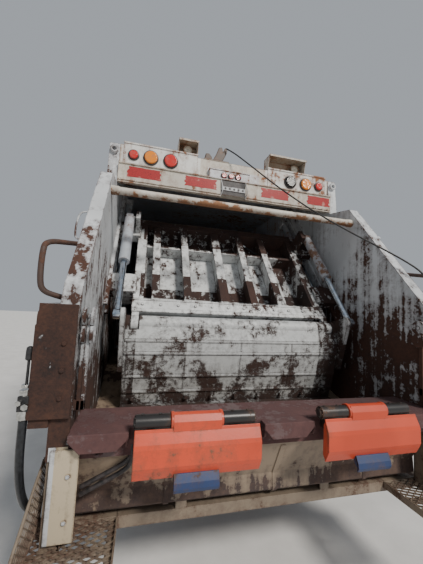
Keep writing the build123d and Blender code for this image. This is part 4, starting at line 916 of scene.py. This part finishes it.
slide_trim = bmesh.new()
for across, width in ((-0.67, 0.025), (-0.4, 0.025), (-0.07, 0.04), (0.2, 0.025), (0.46, 0.025)):
    foot_half, weld_half = width / 2 + 0.022, width / 2 + 0.01
    slide_strip(slide_trim, 0.215, 1.165, -0.004, 0.006, across - foot_half, across + foot_half)
    for along in (0.225, 0.86, 1.15):
        slide_strip(slide_trim, along, along + 0.012, -0.14, -0.02, across - weld_half, across + weld_half)
slide_strip(slide_trim, 0.086, 0.12, 0.028, 0.036, -0.848, 0.848)
slide_strip(slide_trim, 0.196, 0.214, 0.024, 0.034, -0.848, 0.848)
way_out = Vector((0, on_slide(0, 1)[0] - on_slide(0, 0)[0], on_slide(0, 1)[1] - on_slide(0, 0)[1]))
for step in range(12):
    stud(slide_trim, (-0.77 + step * 0.14, *on_slide(0.158, 0.029)), way_out, 0.013, 0.012)
for side in (-1, 1):
    for along in (0.3, 0.43, 0.99, 1.12):
        stud(slide_trim, (side * 0.93, *on_slide(along, 0.041)), way_out, 0.012, 0.004, 12)
new_piece("slide_trim", slide_trim, "slide", packer_paint, 0.0015)

# Bare hydraulic hoses run on the slide panel between its ribs to both sweep cylinders, black with plated ends.
for side_name, side in both_sides:
    rows = ((0.3, 1.15, -0.105), (0.42, 1.05, -0.12), (0.6, 0.98, -0.12), (0.8, 0.99, -0.08))
    points = [(side * across, *on_slide(along, off)) for across, along, off in rows]
    pipe(f"slide_hose_{side_name}", points, 0.0095, "slide", hose_rubber)
    ends = bmesh.new()
    stud(ends, points[0], Vector(points[1]) - Vector(points[0]), 0.014, 0.03)
    stud(ends, points[-1], Vector(points[-2]) - Vector(points[-1]), 0.014, 0.03)
    new_piece(f"slide_hose_ends_{side_name}", ends, "slide", fitting_steel, 0.001)

# The cart lifters are bent orange plates on the sleeves of rotary actuators under the sill's edge. A blue latch hangs
# below each plate on a pin with a spring, and the plates' edges are scraped to bare steel.
lifter_orange = worn_paint(
    "lifter_orange", (0.64, 0.075, 0.03), ((0.05, 0.03, 0.025), (0.22, 0.1, 0.06)), 0.12, 13.0, runs=0.15, edges=0.7,
    rough=0.38)
latch_blue = worn_paint("latch_blue", (0.022, 0.045, 0.13), ((0.03, 0.02, 0.018), (0.12, 0.07, 0.05)), 0.25, 14.0,
                        edges=0.8)
actuator_black = worn_paint("actuator_black", (0.022, 0.021, 0.021), ((0.03, 0.02, 0.015), (0.12, 0.06, 0.035)), 0.25,
                            16.0, runs=0.1, edges=0.6, rough=0.35)
dress(actuator_black, "lifter_actuators")
actuator_axis, spring_axis = (-4.05, 1.134), (-4.084, 0.92)
lifter_fold = ((-4.081, 1.112), (-4.086, 1.098), (-4.107, 1.056), (-4.112, 1.04), (-4.113, 0.965), (-4.106, 0.948),
               (-4.085, 0.906))
for name, plate_low, plate_high, sleeve_low, sleeve_high in (
        ("left", -0.768, -0.17, -0.607, -0.356), ("right", 0.2, 0.8, 0.356, 0.607)):
    body = f"cart_lifter_{name}"
    lifter_plate, latch_trim, spring = bmesh.new(), bmesh.new(), bmesh.new()
    lathe(lifter_plate, ((0.0225, 0.0), (0.041, 0.0), (0.041, 0.014), (0.037, 0.017), (0.037, 0.234), (0.041, 0.237),
                         (0.041, 0.251), (0.0225, 0.251)), (sleeve_low, *actuator_axis), (1, 0, 0), 40)
    folded_sheet(lifter_plate, lifter_fold, -0.008, plate_low, plate_high)
    folded_sheet(lifter_plate, [(-4.071, 1.168), (-4.086, 1.14), (-4.087, 1.1)], -0.007, sleeve_low + 0.01,
                 sleeve_high - 0.01)
    for across in (plate_low, plate_high - 0.006):
        cut_sheet(lifter_plate, ((-4.084, 1.098), (-4.106, 1.056), (-4.111, 1.04), (-4.112, 0.965), (-4.105, 0.948),
                                 (-4.086, 0.912), (-4.072, 0.93), (-4.074, 1.08)), across, across + 0.006)
    plate = new_piece(f"lifter_plate_{name}", lifter_plate, body, lifter_orange, 0.0025)
    latch_low, latch_high = (sleeve_low + sleeve_high) / 2 - 0.105, (sleeve_low + sleeve_high) / 2 + 0.105
    latch_fold = ((-4.08, 0.934), (-4.108, 0.925), (-4.124, 0.894), (-4.128, 0.868), (-4.12, 0.85))
    folded_sheet(latch_trim, latch_fold, 0.01, latch_low, latch_high)
    for across in (latch_low, latch_high - 0.008):
        cut_sheet(latch_trim, ((-4.08, 0.93), (-4.108, 0.922), (-4.122, 0.894), (-4.126, 0.86), (-4.092, 0.888)),
                  across, across + 0.008)
    latch = new_piece(f"lifter_latch_{name}", latch_trim, body, latch_blue, 0.0015)
    stud(spring, (latch_low - 0.02, *spring_axis), (1, 0, 0), 0.007, latch_high - latch_low + 0.04, 16)
    for turn in range(9):
        lathe(spring, ((0.009, -0.0016), (0.012, -0.0016), (0.012, 0.0016), (0.009, 0.0016)),
              (latch_low + 0.03 + turn * 0.007, *spring_axis), (1, 0.08, 0), 20)
    pin = new_piece(f"lifter_spring_{name}", spring, body, fitting_steel)
    for piece in (plate, latch, pin):
        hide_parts(body)
actuator_trim = bmesh.new()
for low, sleeve_low, sleeve_high, high in ((-0.766, -0.607, -0.356, -0.193), (0.193, 0.356, 0.607, 0.766)):
    for end, way in ((low, -1), (high, 1)):
        stud(actuator_trim, (end, *actuator_axis), (way, 0, 0), 0.024, 0.01, 24, 0.8)
        for step in range(6):
            turn = math.radians(60 * step)
            place = actuator_axis[0] + 0.026 * math.cos(turn)
            height = actuator_axis[1] + 0.026 * math.sin(turn)
            stud(actuator_trim, (end, place, height), (way, 0, 0), 0.0045, 0.006)
    for across in (low + 0.03, low + 0.11, high - 0.11, high - 0.03):
        stud(actuator_trim, (across, actuator_axis[0], 1.16), (0, 0, 1), 0.009, 0.0105)
new_piece("actuator_caps", actuator_trim, "tailgate", actuator_black, 0.001)

# The cab is spot-welded sheet steel in the same bluish white as the body, cleaner and glossier than it. Its panel
# joints are sealed, road dirt lies along the skirt, and stone chips show on the front.
cab_paint = worn_paint("cab_paint", (0.6, 0.64, 0.69), ((0.12, 0.07, 0.045), (0.34, 0.18, 0.1)), 0.06, 6.0, runs=0.12,
                       edges=0.3, grime_and_shade=((0.84, 1.35, 0.07),), rough=0.32, relief=0.25)
dress(cab_paint, "cab_body", "cab_front", "cab_roof", "door_left", "door_right")
seams = bmesh.new()
pair(seams, (1.06, 2.52, 2.845), (1.074, 3.98, 2.856))
for place in (2.9, 3.35, 3.78):
    slab(seams, (-1.05, place, 2.845), (1.05, place + 0.03, 2.858))
new_piece("cab_roof_seams", seams, "cab", cab_paint, 0.004)
hatch = bmesh.new()
slab(hatch, (-0.36, 3.02, 2.848), (0.36, 3.68, 2.88))
slab(hatch, (-0.3, 3.08, 2.878), (0.3, 3.62, 2.892))
new_piece("roof_hatch", hatch, "cab", cab_paint, 0.014)

# The front panel carries the grille's bars over a dark back plate, a black sealing strip round the windscreen, two
# wipers on their spindles and a grab rail at each corner.
grille_mesh = bmesh.new()
for step in range(9):
    slab(grille_mesh, (-0.7, 4.2695, 0.914 + step * 0.0215), (0.7, 4.279, 0.921 + step * 0.0215))
for step in range(13):
    slab(grille_mesh, (-0.696 + step * 0.1145, 4.2695, 0.902), (-0.682 + step * 0.1145, 4.282, 1.098))
slab(grille_mesh, (-0.71, 4.266, 0.892), (0.71, 4.2705, 1.108))
new_piece("grille_bars", grille_mesh, "cab", guard_plastic, 0.0015)


def frame_bar(shape, corners, wide, thick, way):
    """A flat frame of bars from corner to corner, thick along the way that it faces."""
    for index, start in enumerate(corners):
        end = corners[(index + 1) % len(corners)]
        along = (Vector(end) - Vector(start))
        out = Vector(way).normalized() * thick / 2
        edge = along.cross(out).normalized() * wide / 2
        over_run = along.normalized() * wide / 2
        ends = [Vector(start) - over_run, Vector(end) + over_run]
        corners_out = ((-edge, -out), (edge, -out), (edge, out), (-edge, out))
        join(shape, *[[place + a + b for a, b in corners_out] for place in ends])


gasket = bmesh.new()
screen_lean = (0, 0.981, 0.195)
frame_bar(gasket, [(-1.012, 4.267, 1.968), (1.012, 4.267, 1.968), (1.012, 4.137, 2.632), (-1.012, 4.137, 2.632)],
          0.03, 0.022, screen_lean)
frame_bar(gasket, [(-0.594, 2.502, 2.056), (0.594, 2.502, 2.056), (0.594, 2.502, 2.444), (-0.594, 2.502, 2.444)],
          0.026, 0.012, (0, 1, 0))
new_piece("window_seals", gasket, "cab", guard_plastic, 0.004)
wipers = bmesh.new()
for foot, lean in ((-0.62, 0.62), (0.28, 0.62)):
    stud(wipers, (foot, 4.262, 1.935), (0, 1, 0.1), 0.016, 0.024, 20)
    reach = [(foot, 4.28, 1.945), (foot + 0.3, 4.257, 2.06)]
    blade = [(foot + 0.02, 4.268, 2.0), (foot + lean, 4.243, 2.125)]
    for line, wide in ((reach, 0.014), (blade, 0.01)):
        frame_bar(wipers, line, wide, 0.01, screen_lean)
new_piece("wipers", wipers, "cab", guard_plastic, 0.001)
for side in (-1, 1):
    bends = ((4.262, 1.3), (4.318, 1.315), (4.318, 1.52), (4.318, 1.74), (4.262, 1.755))
    pipe(f"corner_rail_{side}", [(side * 1.06, *bend) for bend in bends], 0.012, "cab", guard_plastic)

# Each door has a pull handle with its plate and lock, an outside hinge pair and a black sealing strip round its
# window. The glass drops into the door and isn't modelled to move.
for side_name, side in both_sides:
    handles = bmesh.new()
    for low, high in (((1.199, 3.16, 1.7), (1.206, 3.32, 1.76)), ((1.205, 3.18, 1.722), (1.226, 3.205, 1.742)),
                      ((1.205, 3.275, 1.722), (1.226, 3.3, 1.742)), ((1.22, 3.17, 1.718), (1.232, 3.31, 1.746))):
        slab(handles, low, high, side)
    stud(handles, (side * 1.205, 3.335, 1.73), (side, 0, 0), 0.013, 0.006, 24)
    seal = [(side * 1.201, *corner) for corner in ((3.166, 1.886), (3.839, 1.886), (3.839, 2.504), (3.166, 2.504))]
    frame_bar(handles, seal, 0.028, 0.01, (side, 0, 0))
    new_piece(f"door_handle_{side_name}", handles, f"door_{side_name}", guard_plastic, 0.003)
    hinges = bmesh.new()
    for height in (1.42, 2.3):
        slab(hinges, (1.199, 3.985, height), (1.211, 4.008, height + 0.11), side)
        stud(hinges, (side * 1.206, 3.981, height - 0.004), (0, 0, 1), 0.0085, 0.118, 16)
    new_piece(f"door_hinges_{side_name}", hinges, "cab", cab_paint, 0.002)

# The windows are toughened glass with a light green tint. Dust has dried on them in a fine film that thins out
# towards the middle.
window_glass, glass_tree, glass_shader, glass_place = new_finish("window_glass", 0.05)
glass_film = ramp(glass_tree, cloud(glass_tree, glass_place, 7.0, 8.0), 0.45, 0.75, 0.06, 0.32)
glass_tint = mix(glass_tree, glass_film, (0.62, 0.72, 0.68), (0.66, 0.62, 0.55))
glass_tree.links.new(glass_film, glass_shader.inputs["Roughness"])
glass_tree.links.new(glass_tint, glass_shader.inputs["Base Color"])
glass_shader.inputs["Transmission Weight"].default_value = 0.9
glass_shader.inputs["IOR"].default_value = 1.45
dress(window_glass, "cab_glass", "door_glass_left", "door_glass_right")

# The mirrors are black moulded heads on bent tubes, with a silvered pane set in the face that looks back.
dress(guard_plastic, "cab_mirrors")
mirror_silver = mottled("mirror_silver", (0.62, 0.66, 0.7), (0.78, 0.81, 0.84), 8.0, 0.04, 1.0, 0.02)
panes, shells = bmesh.new(), bmesh.new()
pair(panes, (1.242, 4.0575, 1.918), (1.368, 4.0605, 2.362))
for height in (1.94, 2.1, 2.26):
    pair(shells, (1.245, 4.118, height), (1.365, 4.126, height + 0.012))
for side in (-1, 1):
    rim = ((1.24, 4.058, 1.912), (1.37, 4.058, 1.912), (1.37, 4.058, 2.368), (1.24, 4.058, 2.368))
    frame_bar(shells, on_side(side, rim), 0.012, 0.012, (0, 1, 0))
new_piece("mirror_panes", panes, "cab", mirror_silver, 0.0008)
new_piece("mirror_rims", shells, "cab", guard_plastic, 0.003)

# The seats are steel frames with pads of foam in grey cloth. Each pad is worked here from a subdivided block that is
# crowned, sunk at its piped seams and creased where a driver sits, without a simulation.
seat_cloth, cloth_tree, cloth_shader, cloth_place = new_finish("seat_cloth", 0.92)
cloth_shader.inputs["Sheen Weight"].default_value = 0.3
weave, weft = (add(cloth_tree, "TexWave", {"Vector": cloth_place, "Scale": 160.0, "Distortion": 1.5},
                   bands_direction=way).outputs["Fac"] for way in "XZ")
threads = add(cloth_tree, "Math", {0: weave, 1: weft}, operation="MULTIPLY").outputs[0]
cloth_soil = mix(cloth_tree, cloud(cloth_tree, cloth_place, 6.0, 6.0), (0.05, 0.055, 0.065), (0.13, 0.13, 0.135))
surface(cloth_tree, cloth_shader, mix(cloth_tree, threads, cloth_soil, (0.16, 0.165, 0.18)), threads, 0.4, 0.0008)


def worked_pad(shape, low, high, face, crown, seams_at):
    """A foam pad: a fine block with round edges, crowned on its face and sunk along its seams."""
    steps = 30
    middle = [(a + b) / 2 for a, b in zip(low, high)]
    half = [(b - a) / 2 for a, b in zip(low, high)]
    made = bmesh.ops.create_cube(shape, size=2.0)["verts"]
    edges = list({edge for vert in made for edge in vert.link_edges})
    bmesh.ops.subdivide_edges(shape, edges=edges, cuts=steps, use_grid_fill=True)
    shape.verts.ensure_lookup_table()
    other = [axis for axis in (0, 1, 2) if axis != face]
    for vert in shape.verts:
        if vert.tag:
            continue
        vert.tag = True
        place = vert.co.copy()
        inner = Vector([max(-0.86, min(0.86, c)) for c in place])
        off = place - inner
        if off.length > 0:
            place = inner + off.normalized() * min(off.length, 0.14)
        crowned = (1 - place[other[0]] ** 2) * (1 - place[other[1]] ** 2)
        if place[face] > 0:
            place[face] -= (1 - crowned) * crown * place[face]
            for axis, at, deep in seams_at:
                place[face] -= deep * math.exp(-((place[axis] - at) / 0.035) ** 2)
            place[face] -= 0.012 * math.sin(place[other[0]] * 9 + 1.3) * math.sin(place[other[1]] * 11) * crowned
        vert.co = [middle[axis] + half[axis] * place[axis] for axis in range(3)]


seat_floor = 1.18
for name, across, half_wide in (("driver", -0.62, 0.26), ("mates", 0.52, 0.38)):
    split = [(0, -0.66, 0.06), (0, 0.0, 0.09), (0, 0.66, 0.06)]
    if name == "driver":
        split = [(0, -0.62, 0.07), (0, 0.62, 0.07)]
    left, right, front = across - half_wide, across + half_wide, 3.42
    cushion, backrest, base = bmesh.new(), bmesh.new(), bmesh.new()
    worked_pad(cushion, (left, 3.0, seat_floor + 0.26), (right, 3.5, seat_floor + 0.4), 2, 0.3,
               split + [(1, 0.45, 0.06)])
    worked_pad(backrest, (left, 2.88, seat_floor + 0.3), (right, 3.0, seat_floor + 1.0), 1, 0.3,
               split + [(2, 0.35, 0.08), (2, -0.3, 0.06)])
    for low, high, foot in (((left + 0.04, 3.08), (left + 0.052, front), 0), ((right - 0.052, 3.08),
                            (right - 0.04, front), 0), ((left + 0.04, 3.408), (right - 0.04, front), 0),
                            ((left + 0.04, 3.08), (right - 0.04, 3.092), 0),
                            ((left + 0.03, 3.06), (right - 0.03, 3.44), 0.244)):
        slab(base, (*low, seat_floor + foot), (*high, seat_floor + 0.262))
    seat = new_piece(f"seat_cushion_{name}", cushion, "cab", seat_cloth, smooth=True)
    rest = new_piece(f"seat_backrest_{name}", backrest, "cab", seat_cloth, smooth=True)
    stand = new_piece(f"seat_base_{name}", base, "cab", guard_plastic, 0.004)
    for pad in (seat, rest):
        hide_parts("cab_seats")
    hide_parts("cab_seats")

# The dashboard is grained black plastic with a hood over round gauges, a row of rocker switches and two vents. The
# steering wheel has a soft rim and a boss over its column.
dash_plastic = mottled("dash_plastic", (0.02, 0.02, 0.022), (0.05, 0.05, 0.052), 40.0, 0.62, 0.0, 0.5, 0.0006)
dress(dash_plastic, "cab_dash")
gauge_white = mottled("gauge_white", (0.55, 0.55, 0.52), (0.72, 0.72, 0.69), 20.0, 0.4)
dash_trim, gauges = bmesh.new(), bmesh.new()
slab(dash_trim, (-0.86, 3.87, 1.842), (-0.38, 4.06, 1.868))
slab(dash_trim, (-0.86, 3.865, 1.8), (-0.845, 4.06, 1.866))
slab(dash_trim, (-0.395, 3.865, 1.8), (-0.38, 4.06, 1.866))
for across, radius in ((-0.74, 0.045), (-0.62, 0.05), (-0.5, 0.045)):
    lathe(dash_trim, ((radius, 0.0), (radius + 0.008, 0.002), (radius + 0.006, 0.014), (radius - 0.002, 0.01)),
          (across, 3.868, 1.77), (0, -0.92, 0.39), 32)
    stud(gauges, (across, 3.869, 1.77), (0, -0.92, 0.39), radius - 0.002, 0.005, 32)
for step in range(8):
    slab(dash_trim, (-0.26 + step * 0.075, 3.853, 1.742), (-0.205 + step * 0.075, 3.868, 1.778))
for across in (0.42, 0.66):
    for step in range(6):
        height = 1.738 + step * 0.011
        slab(dash_trim, (across, 3.852 - 0.001 * step, height), (across + 0.16, 3.87, height + 0.005))
lathe(dash_trim, ((0.001, 0.0), (0.062, 0.0), (0.06, 0.02), (0.045, 0.03), (0.001, 0.034)),
      (-0.62, 3.64, 1.9), (0, -0.678, 0.735), 32)
new_piece("dash_trim", dash_trim, "cab", dash_plastic, 0.002)
new_piece("gauge_faces", gauges, "cab", gauge_white)

# The head lamps have a clear moulded lens with upright ribs in a black frame. Amber turn signals stand above them
# on the cab's front panel, and a side signal on each end of the bumper.
head_glass = mottled("head_glass", (0.2, 0.21, 0.22), (0.5, 0.52, 0.54), 25.0, 0.06, 0.6, 0.2)
dress(head_glass, "head_lamps")
lamp_frames, lamp_ribs = bmesh.new(), bmesh.new()
signals, side_signals = bmesh.new(), bmesh.new()
for side in (-1, 1):
    rim = ((0.556, 4.342, 0.576), (0.744, 4.342, 0.576), (0.744, 4.342, 0.704), (0.556, 4.342, 0.704))
    frame_bar(lamp_frames, on_side(side, rim), 0.014, 0.014, (0, 1, 0))
for step in range(13):
    place = 0.57 + step * 0.0133
    pair(lamp_ribs, (place - 0.002, 4.339, 0.586), (place + 0.002, 4.3435, 0.694))
pair(signals, (0.92, 4.266, 1.14), (1.04, 4.284, 1.21))
pair(side_signals, (1.199, 4.12, 0.62), (1.207, 4.2, 0.665))
new_piece("head_lamp_frames", lamp_frames, "root", guard_plastic, 0.003)
new_piece("head_lamp_ribs", lamp_ribs, "root", head_glass, 0.0008)
new_piece("turn_signals", signals, "cab", marker_amber, 0.004)
new_piece("side_signals", side_signals, "root", marker_amber, 0.003)


low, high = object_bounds()
